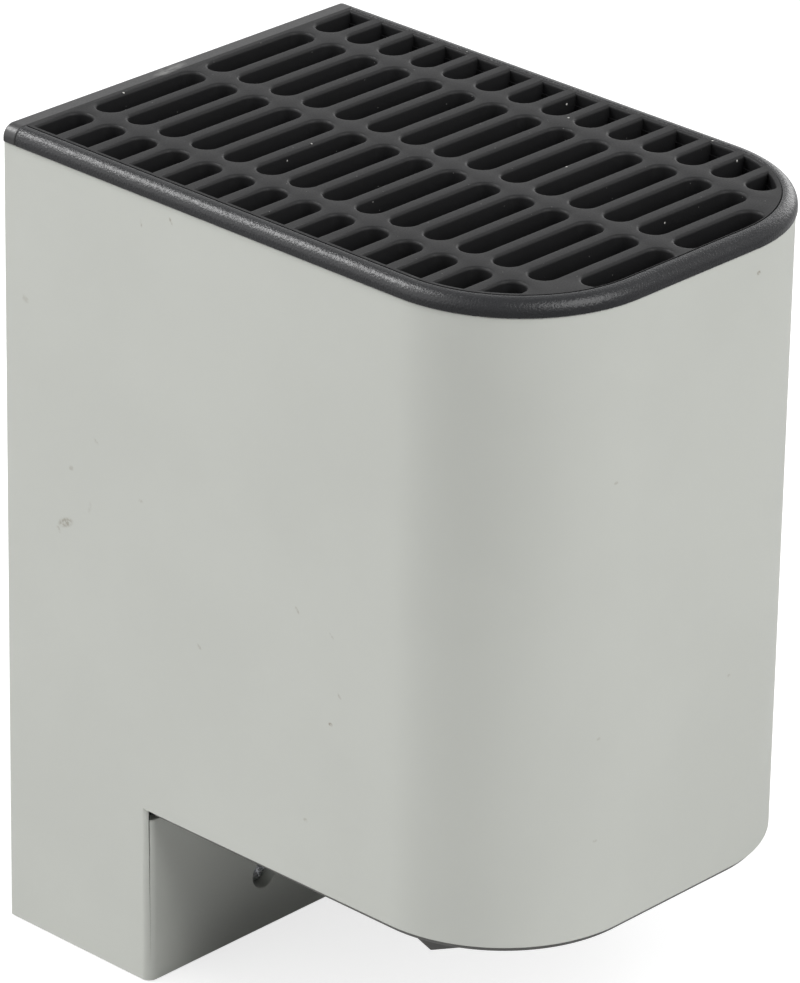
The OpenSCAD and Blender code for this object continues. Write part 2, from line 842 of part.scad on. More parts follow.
// One blade: a slice of a thin shell whose axis points outwards, kept to the running circle
module blade() {
    tip_r = fan_bore_r - tip_gap;
    intersection() {
        translate([0, 0, cup_z + blade_inset]) difference() {
            cylinder(r = tip_r, h = blade_h);
            translate([0, 0, -over]) cylinder(r = hub_r - blade_root, h = blade_h + 2 * over);
        }
        translate([0, 0, cup_z + blade_inset + blade_h / 2]) rotate([blade_pitch, 0, 0])
            translate([hub_r - over, 0, -blade_camber_r]) rotate([0, 90, 0]) difference() {
                cylinder(r = blade_camber_r + blade_t / 2, h = tip_r - hub_r + 2 * over);
                translate([0, 0, -over])
                    cylinder(r = blade_camber_r - blade_t / 2, h = tip_r - hub_r + 4 * over);
                translate([-blade_camber_r / 2, -2 * blade_camber_r, -over])
                    cube([4 * blade_camber_r, 4 * blade_camber_r, tip_r]);
            }
    }
}

module fan_shaft() {
    shaft_z = cup_z + hub_boss_h + thread_fit;
    at_fan() color(screw_steel) translate([0, 0, shaft_z])
        cylinder(r = shaft_r, h = base_z - shaft_back - shaft_z);
}

module fan_magnet() {
    at_fan() color(guard_grey) translate([0, 0, cup_z + cup_cap + fit]) difference() {
        cylinder(r = magnet_r, h = cup_h - cup_cap - magnet_end_gap);
        translate([0, 0, -over]) cylinder(r = magnet_r - magnet_t, h = cup_h);
    }
}

// Screws through the fan's lower flange into the guard
module fan_screws() {
    at_fan() color(screw_steel) fan_corners() {
        translate([0, 0, fan_flange_t]) mirror([0, 0, 1])
            screw_up(screw_r, fan_flange_t + guard_thread - fit, head_r, head_h);
    }
}

// Sheet across the duct, open under the element
module heater_tray() {
    at_rail() color(spring_steel) translate([0, 0, tray_z]) difference() {
        linear_extrude(tray_t) outline(wall + 2 * fit, panel_t + stop_t + fit);
        translate([0, fan_y, tray_t / 2])
            cube([core_l - 2 * frame_lip, core_w, tray_t + 2 * over], center = true);
        for (side = [-1, 1]) {
            translate([side * lead_hole_x, lead_hole_y, -over])
                cylinder(r = lead_hole_r, h = tray_t + 2 * over);
            for (y = tray_boss_y) {
                translate([side * tray_boss_x, y, -over])
                    cylinder(r = pilot_r + fit, h = tray_t + 2 * over);
            }
        }
    }
}

module tray_screws() {
    at_rail() color(screw_steel) for (side = [-1, 1], y = tray_boss_y) {
        translate([side * tray_boss_x, y, tray_z + tray_t]) mirror([0, 0, 1])
            screw_up(screw_r, tray_t + tray_boss_h - tray_screw_gap, head_r, head_h);
    }
}

// Heat-proof moulded frame around the bars and fins, with a lip under their ends
module heater_frame() {
    at_rail() color(fan_black) translate([0, fan_y, frame_z]) difference() {
        translate([-frame_l / 2, -frame_w / 2, 0]) cube([frame_l, frame_w, frame_h]);
        translate([-core_l / 2 - fit, -core_w / 2 - fit, frame_lip_t])
            cube([core_l + 2 * fit, core_w + 2 * fit, frame_h]);
        translate([-core_l / 2 + frame_lip, -core_w / 2 - fit, -over])
            cube([core_l - 2 * frame_lip, core_w + 2 * fit, frame_h]);
    }
}

function bar_y(i) = -core_w / 2 + fin_w + i * (bar_w + fin_w);
function pack_y(i) = -core_w / 2 + eps + i * (bar_w + fin_w);

// Aluminium tubes that hold the ceramic heating stones
module ptc_bars() {
    at_rail() color(aluminium) for (i = [0 : bars - 1]) {
        translate([-core_l / 2, fan_y + bar_y(i), core_z]) cube([core_l, bar_w, core_h]);
    }
}

// Folded aluminium sheet between the bars
module fin_packs() {
    folds = floor((core_l - fin_crest) / (fin_pitch / 2));
    at_rail() color(aluminium) for (i = [0 : packs - 1]) {
        translate([-core_l / 2, fan_y + pack_y(i), core_z]) linear_extrude(core_h) fold_section(folds);
    }
}

// Folded band of one fin pack, with flat crests at y = 0 and y = pack_w
module fold_section(folds) {
    run = fin_pitch / 2 - fin_crest;
    rise = fin_t * sqrt(1 + pow(pack_w / run, 2));
    edge = [for (i = [0 : folds], x = [0, fin_crest]) [i * fin_pitch / 2 + x, (i % 2) * (pack_w - rise)]];
    polygon(concat(edge, [for (i = [len(edge) - 1 : -1 : 0]) edge[i] + [0, rise]]));
}

// Push-on tabs of the element's two electrodes, standing on its frame
module electrode_tabs() {
    at_rail() color(brass) for (y = tab_y) {
        translate([tab_x - tab_t / 2, y - tab_w / 2, frame_z + frame_h]) cube([tab_t, tab_w, tab_h]);
    }
}

// Round cut-out with a fixing flange and two tabs, on the tray
module thermal_limiter() {
    at_rail() color(spring_steel) translate([0, limiter_y, tray_z + tray_t]) {
        translate([-limiter_flange_l / 2, -limiter_flange_w / 2, 0])
            cube([limiter_flange_l, limiter_flange_w, tab_t]);
        cylinder(r = limiter_r, h = limiter_h);
        for (side = [-1, 1]) {
            translate([side * limiter_tab_x - tab_t / 2, -tab_w / 2, limiter_h - eps])
                cube([tab_t, tab_w, tab_h]);
        }
    }
}

// Two-pole block on the rear panel, with wire holes below and screws towards the front
module terminal_block() {
    at_rail() color("ivory") translate([0, -panel_t, block_z]) difference() {
        translate([-block_w / 2, -block_d, 0]) cube([block_w, block_d, block_h]);
        for (side = [-1, 1]) {
            translate([side * pole_x, 0, 0]) {
                translate([0, -block_d / 2, -over])
                    cylinder(r = clamp_r + thread_fit, h = block_h + 2 * over);
                translate([0, 0, block_h / 2])
                    depth_rod(clamp_screw_r + fit, -block_d - over, -block_d / 2);
            }
        }
    }
}

module terminal_clamps() {
    at_rail() color(brass) for (side = [-1, 1]) {
        translate([side * pole_x, pole_y, block_z]) difference() {
            cylinder(r = clamp_r, h = block_h);
            translate([0, 0, -over]) cylinder(r = clamp_r - clamp_wall, h = block_h + 2 * over);
            translate([0, 0, block_h / 2]) depth_rod(clamp_screw_r + thread_fit, -clamp_r - over, 0);
        }
    }
}

module terminal_screws() {
    at_rail() color(screw_steel) for (side = [-1, 1]) {
        translate([side * pole_x, -panel_t, block_z + block_h / 2]) difference() {
            depth_rod(clamp_screw_r, -block_d + clamp_screw_sink, clamp_screw_end);
            translate([-clamp_r, -block_d + clamp_screw_sink - eps, -screw_slot_w / 2])
                cube([2 * clamp_r, screw_slot_d, screw_slot_w]);
        }
    }
}

// Rounds a route by cutting each corner
function cut_corners(p) = concat(
    [p[0]],
    [for (i = [0 : len(p) - 2], s = [0.25, 0.75]) p[i] * (1 - s) + p[i + 1] * s],
    [p[len(p) - 1]]
);

function unit(v) = v / norm(v);
function tangent(p, i) = unit(p[min(i + 1, len(p) - 1)] - p[max(i - 1, 0)]);

// Ring of points around point i of a route
function ring(p, i, r) =
    let (t = tangent(p, i), a = unit(cross(t, off_axis)), b = cross(t, a))
    [for (k = [0 : lead_sides - 1])
        p[i] + r * (cos(k * 360 / lead_sides) * a + sin(k * 360 / lead_sides) * b)];

// Round wire swept along a route
module lead(route, r) {
    p = cut_corners(cut_corners(route));
    n = lead_sides;
    m = len(p);
    points = [for (i = [0 : m - 1]) each ring(p, i, r)];
    sides = [for (i = [0 : m - 2], k = [0 : n - 1])
        [i * n + k, (i + 1) * n + k, (i + 1) * n + (k + 1) % n, i * n + (k + 1) % n]];
    ends = [[for (k = [0 : n - 1]) k], [for (k = [n - 1 : -1 : 0]) (m - 1) * n + k]];
    at_rail() polyhedron(points, concat(sides, ends));
}

module lead_live() {
    color("saddlebrown") lead(lead_live_route, lead_r);
}

module lead_neutral() {
    color("royalblue") lead(lead_neutral_route, lead_r);
}

module lead_link() {
    color("saddlebrown") lead(lead_link_route, lead_r);
}

module fan_lead() {
    color("dimgray") lead(fan_lead_route, lead_r);
}

casing();
top_grille();
rear_panel();
intake_guard();
din_rail_clip();
clip_screws();
casing_screws();
cable_grommet();
terminal_block();
terminal_clamps();
terminal_screws();
fan_frame();
fan_stator();
stator_coils();
fan_board();
fan_bearings();
fan_impeller();
fan_shaft();
fan_magnet();
fan_screws();
heater_tray();
tray_screws();
heater_frame();
ptc_bars();
fin_packs();
electrode_tabs();
thermal_limiter();
lead_live();
lead_neutral();
lead_link();
fan_lead();
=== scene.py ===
"""Looks of a cabinet fan heater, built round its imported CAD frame.

Sizes are in millimetres in the drawing's own frame: x to the right, the front towards -y,
y = 0 at the casing's rear face and z = 0 at the bottom of the foot.
"""

import logging
import math
from collections.abc import Iterable, Sequence
from dataclasses import dataclass, field
from enum import Enum
from typing import Any

import bmesh
import bpy
from mathutils import Matrix, Vector


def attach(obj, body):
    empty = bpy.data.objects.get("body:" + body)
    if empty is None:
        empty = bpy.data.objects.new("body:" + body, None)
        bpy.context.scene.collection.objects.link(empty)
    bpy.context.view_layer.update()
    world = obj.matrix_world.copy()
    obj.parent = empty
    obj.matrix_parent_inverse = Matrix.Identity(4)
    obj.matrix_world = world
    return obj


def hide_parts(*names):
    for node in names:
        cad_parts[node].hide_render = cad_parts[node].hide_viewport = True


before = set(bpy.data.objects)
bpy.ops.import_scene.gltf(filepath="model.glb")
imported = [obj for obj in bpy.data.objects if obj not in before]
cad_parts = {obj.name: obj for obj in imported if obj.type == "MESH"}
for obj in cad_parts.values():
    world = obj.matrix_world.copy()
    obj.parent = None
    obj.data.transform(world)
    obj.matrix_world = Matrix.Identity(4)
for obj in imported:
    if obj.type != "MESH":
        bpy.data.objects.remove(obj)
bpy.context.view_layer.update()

LOG = logging.getLogger("heater")
MM = 0.001
RAIL_OFFSET = Vector((0.0, -1.0, -96.0))
# Distances within which points count as one, in meshes and in node trees
JOIN_DISTANCE = 0.02
WELD_DISTANCE = 0.002
# Share of a noise pattern's range that grain and changes of tone use
GRAIN_RANGE = (0.3, 0.7)
TONE_RANGE = (0.35, 0.65)
# How far a mark on the casing reaches into its wall
MARK_DEPTH = 3.0
# Step that keeps the guard's rings, bars and middle out of one plane
GUARD_STEP = 0.1
SCREW_HEAD_R = 2.5
SCREW_HEAD_H = 1.6
SCREW_R = 1.5

Point2 = tuple[float, float]
Point3 = tuple[float, float, float]
Colour = tuple[float, float, float, float]


class Body(Enum):
    """Bodies of the frame that a piece can ride on."""

    HOUSING = "housing"
    ROTOR = "rotor"


class Wall(Enum):
    """Faces of the casing that carry marks of use."""

    LEFT = "left"
    FRONT = "front"


def srgb(red: float, green: float, blue: float) -> Colour:
    """Turns a screen colour into the linear colour that shaders take.

    Args:
        red: Red from 0 to 255.
        green: Green from 0 to 255.
        blue: Blue from 0 to 255.

    Returns:
        The linear colour with an alpha of one.
    """
    def linear(value: float) -> float:
        """Gives one channel's linear value."""
        share = value / 255
        return share / 12.92 if share <= 0.04045 else ((share + 0.055) / 1.055) ** 2.4

    return (linear(red), linear(green), linear(blue), 1.0)


def row_point(point: Sequence[float]) -> Vector:
    """Gives a point of the drawing, in millimetres, in the row frame in metres."""
    return (Vector(point) + RAIL_OFFSET) * MM


ROW_FRAME = Matrix.Scale(MM, 4) @ Matrix.Translation(RAIL_OFFSET)


# Shaders


class Shader:
    """A material under construction, with short calls for the nodes that the finishes use."""

    def __init__(self, name: str) -> None:
        """Makes an empty material with one principled shader.

        Args:
            name: Name of the material.
        """
        self.material = bpy.data.materials.new(name)
        self.material.use_nodes = True
        self.tree = self.material.node_tree
        self.surface = next(n for n in self.tree.nodes if n.type == "BSDF_PRINCIPLED")
        self.place = self.add("ShaderNodeTexCoord").outputs["Object"]

    def add(self, kind: str, **settings: Any) -> bpy.types.Node:
        """Adds a node and sets its properties.

        Args:
            kind: Blender's name of the node.
            **settings: Properties of the node.

        Returns:
            The node.
        """
        node = self.tree.nodes.new(kind)
        for key, value in settings.items():
            setattr(node, key, value)
        return node

    def feed(self, socket: bpy.types.NodeSocket, value: Any) -> None:
        """Links a socket into an input, or sets the input to a constant.

        Args:
            socket: Input to feed.
            value: Socket or constant.
        """
        if isinstance(value, bpy.types.NodeSocket):
            self.tree.links.new(value, socket)
        else:
            socket.default_value = value

    def set(self, name: str, value: Any) -> None:
        """Feeds one input of the principled shader."""
        self.feed(self.surface.inputs[name], value)

    def math(self, operation: str, first: Any, second: Any = 0.0) -> bpy.types.NodeSocket:
        """Adds a math node.

        Args:
            operation: Blender's name of the operation.
            first: First number or socket.
            second: Second number or socket.

        Returns:
            The result's socket.
        """
        node = self.add("ShaderNodeMath", operation=operation)
        self.feed(node.inputs[0], first)
        self.feed(node.inputs[1], second)
        return node.outputs[0]

    def remap(self, value: Any, low: float, high: float, start: float, end: float) -> bpy.types.NodeSocket:
        """Maps a range of a value smoothly to another range.

        Args:
            value: Socket to map.
            low: Start of the incoming range.
            high: End of the incoming range.
            start: Result at low.
            end: Result at high.

        Returns:
            The mapped value's socket.
        """
        node = self.add("ShaderNodeMapRange", interpolation_type="SMOOTHSTEP")
        for key, number in zip(("From Min", "From Max", "To Min", "To Max"), (low, high, start, end)):
            node.inputs[key].default_value = number
        self.feed(node.inputs["Value"], value)
        return node.outputs["Result"]

    def mix(self, share: Any, first: Any, second: Any) -> bpy.types.NodeSocket:
        """Mixes two colours.

        Args:
            share: Share of the second colour.
            first: First colour or socket.
            second: Second colour or socket.

        Returns:
            The mixed colour's socket.
        """
        node = self.add("ShaderNodeMix", data_type="RGBA")
        self.feed(node.inputs["Factor"], share)
        self.feed(node.inputs[6], first)
        self.feed(node.inputs[7], second)
        return node.outputs[2]

    def noise(self, size_mm: float, detail: float = 2.0, stretch: Point3 = (1, 1, 1)) -> bpy.types.NodeSocket:
        """Adds a noise pattern on object coordinates.

        Args:
            size_mm: Size of the pattern's blotches.
            detail: Octaves of finer noise.
            stretch: Scale of the pattern along each axis.

        Returns:
            The pattern's value, about one half.
        """
        turn = self.add("ShaderNodeMapping")
        turn.inputs["Scale"].default_value = stretch
        self.feed(turn.inputs["Vector"], self.place)
        node = self.add("ShaderNodeTexNoise")
        node.inputs["Scale"].default_value = 1 / (size_mm * MM)
        node.inputs["Detail"].default_value = detail
        self.feed(node.inputs["Vector"], turn.outputs["Vector"])
        return node.outputs["Fac"]

    def specks(self, spacing_mm: float, radius_mm: float, share: float) -> bpy.types.NodeSocket:
        """Adds sparse round specks.

        Args:
            spacing_mm: Spacing of the places where a speck may lie.
            radius_mm: Radius of a speck.
            share: Share of those places that have one.

        Returns:
            A mask that is one on the specks.
        """
        node = self.add("ShaderNodeTexVoronoi")
        node.inputs["Scale"].default_value = 1 / (spacing_mm * MM)
        self.feed(node.inputs["Vector"], self.place)
        reach = radius_mm / spacing_mm
        spot = self.remap(node.outputs["Distance"], reach * 0.6, reach, 1, 0)
        pick = self.add("ShaderNodeSeparateColor")
        self.feed(pick.inputs[0], node.outputs["Color"])
        chosen = self.math("GREATER_THAN", pick.outputs[0], 1 - share)
        return self.math("MULTIPLY", spot, chosen)

    def spot(self, centre: Point3, radii: Point3, tilt: Point3 = (0, 0, 0)) -> bpy.types.NodeSocket:
        """Adds one soft spot about a point of the drawing.

        Args:
            centre: Centre in the drawing's frame.
            radii: Half sizes along the spot's own axes.
            tilt: Turn of the spot in radians.

        Returns:
            A mask that falls from one at the centre to zero at the radii.
        """
        node = self.add("ShaderNodeMapping", vector_type="TEXTURE")
        node.inputs["Location"].default_value = row_point(centre)
        node.inputs["Rotation"].default_value = tilt
        node.inputs["Scale"].default_value = [r * MM for r in radii]
        self.feed(node.inputs["Vector"], self.place)
        reach = self.add("ShaderNodeVectorMath", operation="LENGTH")
        self.feed(reach.inputs[0], node.outputs["Vector"])
        return self.remap(reach.outputs["Value"], 0.35, 1, 1, 0)

    def bump(self, height: Any, depth_mm: float) -> None:
        """Bends the shader's normal by a height pattern.

        Args:
            height: Socket of the height.
            depth_mm: Height of a full step.
        """
        node = self.add("ShaderNodeBump")
        node.inputs["Strength"].default_value = 1.0
        node.inputs["Distance"].default_value = depth_mm * MM
        self.feed(node.inputs["Height"], height)
        self.set("Normal", node.outputs["Normal"])


# Spacing and radius of the dust's specks, and their colour
DUST_LAYERS = ((3.3, 0.24, srgb(205, 204, 200)), (1.5, 0.11, srgb(120, 120, 118)))


@dataclass(frozen=True)
class MouldedPlastic:
    """Plastic with the fine grain of its mould and a slight change of tone."""

    name: str
    colour: Colour
    roughness: float = 0.5
    grain_mm: float = 0.35
    grain_depth: float = 0.01
    mottle: float = 0.06
    mottle_mm: float = 18.0
    specular: float = 0.5
    dust: float = 0.0

    def material(self) -> bpy.types.Material:
        """Builds the finish's material."""
        return self.shader().material

    def tint(self, shader: Shader) -> bpy.types.NodeSocket:
        """Gives the base colour with a slight change of tone.

        Args:
            shader: Shader that the colour goes on.

        Returns:
            The colour's socket.
        """
        dark = tuple(c * (1 - self.mottle) for c in self.colour[:3]) + (1.0,)
        light = tuple(min(1.0, c * (1 + self.mottle)) for c in self.colour[:3]) + (1.0,)
        return shader.mix(shader.remap(shader.noise(self.mottle_mm, 3), *TONE_RANGE, 0, 1), dark, light)

    def shader(self) -> Shader:
        """Wires colour, grain and dust.

        Returns:
            The shader, for a finish that adds to it.
        """
        shader = Shader(self.name)
        colour = self.tint(shader)
        if self.dust:
            for spacing, radius, tone in DUST_LAYERS:
                colour = shader.mix(shader.specks(spacing, radius, self.dust), colour, tone)
        shader.set("Base Color", colour)
        grain = shader.noise(self.grain_mm, 2)
        shader.set("Roughness", shader.remap(grain, *GRAIN_RANGE, self.roughness - 0.05, self.roughness + 0.05))
        shader.set("Specular IOR Level", self.specular)
        shader.bump(grain, self.grain_depth)
        return shader


@dataclass(frozen=True)
class Mark:
    """One scuff or speck on a wall of the casing, at across and up in the drawing's frame."""

    wall: Wall
    across: float
    up: float
    length: float
    width: float
    tilt: float
    strength: float

    def mask(self, shader: Shader, half_w: float, front_y: float) -> bpy.types.NodeSocket:
        """Gives the mark's mask.

        Args:
            shader: Shader that the mark goes on.
            half_w: Half width of the casing.
            front_y: Front face of the casing.

        Returns:
            The mask's socket, up to the mark's strength.
        """
        turn = math.radians(self.tilt)
        if self.wall is Wall.LEFT:
            place = (-half_w, self.across, self.up)
            radii, tilt = (MARK_DEPTH, self.length, self.width), (turn, 0.0, 0.0)
        else:
            place = (self.across, front_y, self.up)
            radii, tilt = (self.length, MARK_DEPTH, self.width), (0.0, turn, 0.0)
        return shader.math("MULTIPLY", shader.spot(place, radii, tilt), self.strength)


@dataclass(frozen=True)
class UsedCasingPlastic(MouldedPlastic):
    """Light casing plastic with the scuffs and specks of use."""

    half_w: float = 41.5
    front_y: float = -119.0
    scuff: Colour = srgb(134, 124, 106)
    marks: tuple[Mark, ...] = ()

    def material(self) -> bpy.types.Material:
        """Builds the plastic, then lays the marks and a trace of dirt over it.

        Returns:
            The material.
        """
        shader = self.shader()
        colour = self.tint(shader)
        worn: Any = 0.0
        for mark in self.marks:
            worn = shader.math("MAXIMUM", worn, mark.mask(shader, self.half_w, self.front_y))
        broken = shader.remap(shader.noise(0.6, 3), 0.35, 0.6, 0.15, 1)
        colour = shader.mix(shader.math("MULTIPLY", worn, broken), colour, self.scuff)
        fine = shader.math("MULTIPLY", shader.specks(14, 0.22, 0.25), 0.35)
        shader.set("Base Color", shader.mix(fine, colour, self.scuff))
        return shader.material


@dataclass(frozen=True)
class RubbedPlastic(MouldedPlastic):
    """Dark plastic with a paler patch where it has been rubbed."""

    patch: Point3 = (-4.0, -1.8, 151.5)
    patch_radii: Point3 = (5.0, 1.6, 1.5)
    rubbed: Colour = srgb(120, 120, 118)

    def material(self) -> bpy.types.Material:
        """Builds the plastic and lays the rubbed patch over it.

        Returns:
            The material.
        """
        shader = self.shader()
        streaks = shader.remap(shader.noise(0.9, 3, (0.25, 1, 1)), 0.4, 0.62, 0, 0.85)
        patch = shader.math("MULTIPLY", shader.spot(self.patch, self.patch_radii, (0, 0, 0.1)), streaks)
        shader.set("Base Color", shader.mix(patch, self.tint(shader), self.rubbed))
        return shader.material


@dataclass(frozen=True)
class SheetMetal:
    """Bare or plated metal with a brushed or rolled grain."""

    name: str
    colour: Colour
    roughness: float = 0.32
    grain_mm: float = 0.4
    stretch: Point3 = (0.08, 1.0, 1.0)

    def material(self) -> bpy.types.Material:
        """Builds the finish's material.

        Returns:
            The material.
        """
        shader = Shader(self.name)
        grain = shader.noise(self.grain_mm, 3, self.stretch)
        dark = tuple(c * 0.86 for c in self.colour[:3]) + (1.0,)
        shader.set("Base Color", shader.mix(shader.noise(6, 2), dark, self.colour))
        shader.set("Metallic", 1.0)
        shader.set("Roughness", shader.remap(grain, *GRAIN_RANGE, self.roughness - 0.08, self.roughness + 0.1))
        shader.bump(grain, 0.004)
        return shader.material


# Meshes


@dataclass(frozen=True)
class Plan:
    """Plan of the housing: a straight rear edge and two round front corners."""

    width: float = 83.0
    depth: float = 119.0
    corner_r: float = 27.0
    steps: int = 40

    @property
    def half(self) -> float:
        """Half of the width."""
        return self.width / 2

    @property
    def corner_y(self) -> float:
        """Where the round corners start."""
        return self.corner_r - self.depth

    def path(self, inset: float, rear: float = 0.0) -> list[Point2]:
        """Runs round the sides and the front, from the left rear to the right rear.

        Args:
            inset: Distance inwards from the casing's outer face.
            rear: Distance of both ends from the rear face.

        Returns:
            The points of the path.
        """
        r = self.corner_r - inset
        x = self.corner_r - self.half
        turns = [math.pi * (1 + 0.5 * i / self.steps) for i in range(self.steps + 1)]
        left = [(x + r * math.cos(a), self.corner_y + r * math.sin(a)) for a in turns]
        right = [(-px, py) for px, py in reversed(left)]
        return [(inset - self.half, -rear), *left, *right, (self.half - inset, -rear)]


def circle(r: float, steps: int = 48, centre: Point2 = (0.0, 0.0)) -> list[Point2]:
    """Gives the points of a circle, anticlockwise."""
    turns = [2 * math.pi * i / steps for i in range(steps)]
    return [(centre[0] + r * math.cos(a), centre[1] + r * math.sin(a)) for a in turns]


def box(low: Point3, high: Point3) -> bmesh.types.BMesh:
    """Makes a box between two corners."""
    (x0, y0, z0), (x1, y1, z1) = low, high
    return prism([[(x0, y0), (x1, y0), (x1, y1), (x0, y1)]], z0, z1)


def prism(loops: Sequence[Sequence[Point2]], low: float, high: float) -> bmesh.types.BMesh:
    """Extrudes a plan along z.

    Args:
        loops: Outer loop of the plan, then the loops of its holes.
        low: Lower end.
        high: Upper end.

    Returns:
        The closed solid.
    """
    mesh = bmesh.new()
    for level in (low, high):
        edges = []
        for loop in loops:
            ring = [mesh.verts.new((x, y, level)) for x, y in loop]
            edges += [mesh.edges.new((ring[i - 1], ring[i])) for i in range(len(ring))]
        bmesh.ops.triangle_fill(mesh, use_beauty=True, use_dissolve=True, edges=edges)
    mesh.verts.ensure_lookup_table()
    count = len(mesh.verts) // 2
    start = 0
    for loop in loops:
        for i in range(len(loop)):
            a, b = start + i, start + (i + 1) % len(loop)
            mesh.faces.new([mesh.verts[k] for k in (a, b, b + count, a + count)])
        start += len(loop)
    bmesh.ops.recalc_face_normals(mesh, faces=mesh.faces)
    return mesh


def lathe(profile: Sequence[Point2], steps: int = 48, closed: bool = False) -> bmesh.types.BMesh:
    """Turns a profile of (radius, height) about z.

    Args:
        profile: Points of the profile. A radius of zero closes the form.
        steps: Segments of a full turn.
        closed: Whether the profile runs back to its first point.

    Returns:
        The turned form.
    """
    mesh = bmesh.new()
    rings = [[mesh.verts.new((x, y, z)) for x, y in circle(r, steps)] if r else [mesh.verts.new((0, 0, z))]
             for r, z in profile]
    for low, high in zip(rings, rings[1:] + rings[:1] if closed else rings[1:]):
        for i in range(steps):
            k = i + 1
            corners = (low[i % len(low)], low[k % len(low)], high[k % len(high)], high[i % len(high)])
            mesh.faces.new(list(dict.fromkeys(corners)))
    bmesh.ops.recalc_face_normals(mesh, faces=mesh.faces)
    return mesh


def moved(mesh: bmesh.types.BMesh, matrix: Matrix) -> bmesh.types.BMesh:
    """Moves a mesh and gives it back."""
    mesh.transform(matrix)
    return mesh


def to_object(mesh: bmesh.types.BMesh, name: str) -> bpy.types.Object:
    """Makes an object of a mesh, and links it to the scene.

    Args:
        mesh: Mesh, which is freed.
        name: Name of the object.

    Returns:
        The object.
    """
    data = bpy.data.meshes.new(name)
    mesh.to_mesh(data)
    mesh.free()
    made = bpy.data.objects.new(name, data)
    bpy.context.scene.collection.objects.link(made)
    return made


def remove(*objects: bpy.types.Object) -> None:
    """Deletes helper objects."""
    for item in objects:
        bpy.data.objects.remove(item)


def freeze(item: bpy.types.Object) -> None:
    """Turns an object with modifiers into its plain final mesh.

    Args:
        item: Object that changes.
    """
    graph = bpy.context.evaluated_depsgraph_get()
    final = item.evaluated_get(graph)
    mesh = bpy.data.meshes.new_from_object(final, preserve_all_data_layers=True, depsgraph=graph)
    item.modifiers.clear()
    item.data = mesh


def combine(item: bpy.types.Object, other: bmesh.types.BMesh, operation: str) -> None:
    """Joins a solid to an object or cuts it out.

    Args:
        item: Object that changes.
        other: Solid to join or cut.
        operation: UNION or DIFFERENCE.
    """
    tool = to_object(other, "tool")
    change = item.modifiers.new("combine", "BOOLEAN")
    change.operation = operation
    change.solver = "EXACT"
    change.object = tool
    freeze(item)
    remove(tool)


def soften(item: bpy.types.Object, width: float, segments: int = 2, angle: float = 40.0) -> None:
    """Rounds the sharp edges of an object in millimetres, and smooths its shading.

    Args:
        item: Object that changes.
        width: Width of the rounding.
        segments: Segments across the rounding.
        angle: Least angle of an edge that is rounded, in degrees.
    """
    mesh = bmesh.new()
    mesh.from_mesh(item.data)
    bmesh.ops.remove_doubles(mesh, verts=mesh.verts, dist=JOIN_DISTANCE)
    mesh.to_mesh(item.data)
    mesh.free()
    bevel = item.modifiers.new("soft edges", "BEVEL")
    bevel.width = width
    bevel.segments = segments
    bevel.limit_method = "ANGLE"
    bevel.angle_limit = math.radians(angle)
    bevel.use_clamp_overlap = False
    freeze(item)
    even_normals(item, 0.75 * width)


def even_normals(item: bpy.types.Object, narrow: float, fan: float = 15.0) -> None:
    """Shades flat faces flat and round faces smooth, and lets narrow faces blend between them.

    Args:
        item: Object that changes.
        narrow: Width under which a face counts as part of a rounded edge.
        fan: Angle in degrees within which neighbouring faces count as one surface.
    """
    mesh = item.data
    mesh.polygons.foreach_set("use_smooth", [True] * len(mesh.polygons))
    wide: dict[int, list[bpy.types.MeshPolygon]] = {}
    slim: dict[int, list[bpy.types.MeshPolygon]] = {}
    is_slim = []
    for face in mesh.polygons:
        corners = [mesh.vertices[v].co for v in face.vertices]
        longest = max((corners[i] - corners[i - 1]).length for i in range(len(corners)))
        is_slim.append(face.area < narrow * longest)
        for v in face.vertices:
            (slim if is_slim[-1] else wide).setdefault(v, []).append(face)
    limit = math.cos(math.radians(fan))
    normals = []
    for face in mesh.polygons:
        for v in face.vertices:
            near = wide.get(v) or slim[v]
            lead = max(near, key=lambda other: other.normal.dot(face.normal)) if is_slim[face.index] else face
            spread = limit if v in wide else 0.0
            same = [other for other in near if other.normal.dot(lead.normal) > spread]
            total = sum((other.normal * other.area for other in same), Vector())
            normals.append(total.normalized() if total.length else face.normal.copy())
    mesh.normals_split_custom_set(normals)


def smooth(item: bpy.types.Object, angle: float = 32.0) -> None:
    """Smooths the shading of an object, apart from its sharp edges.

    Args:
        item: Object that changes.
        angle: Least angle of a sharp edge, in degrees.
    """
    for polygon in item.data.polygons:
        polygon.use_smooth = True
    item.data.set_sharp_from_angle(angle=math.radians(angle))


def settle(item: bpy.types.Object, finish: bpy.types.Material, body: Body, slot: str, *nodes: str) -> None:
    """Puts a finished piece in the row frame, dresses it and hands it to the frame.

    Args:
        item: Piece in the drawing's millimetres.
        finish: Material of the whole piece.
        body: Body that it rides on.
        slot: Material slot of the record; not used.
        *nodes: CAD nodes that it stands for.
    """
    item.data.transform(ROW_FRAME)
    item.data.materials.clear()
    item.data.materials.append(finish)
    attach(item, body.value)
    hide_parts(*nodes)
    LOG.info("%s: %d faces for %s", item.name, len(item.data.polygons), ", ".join(nodes))


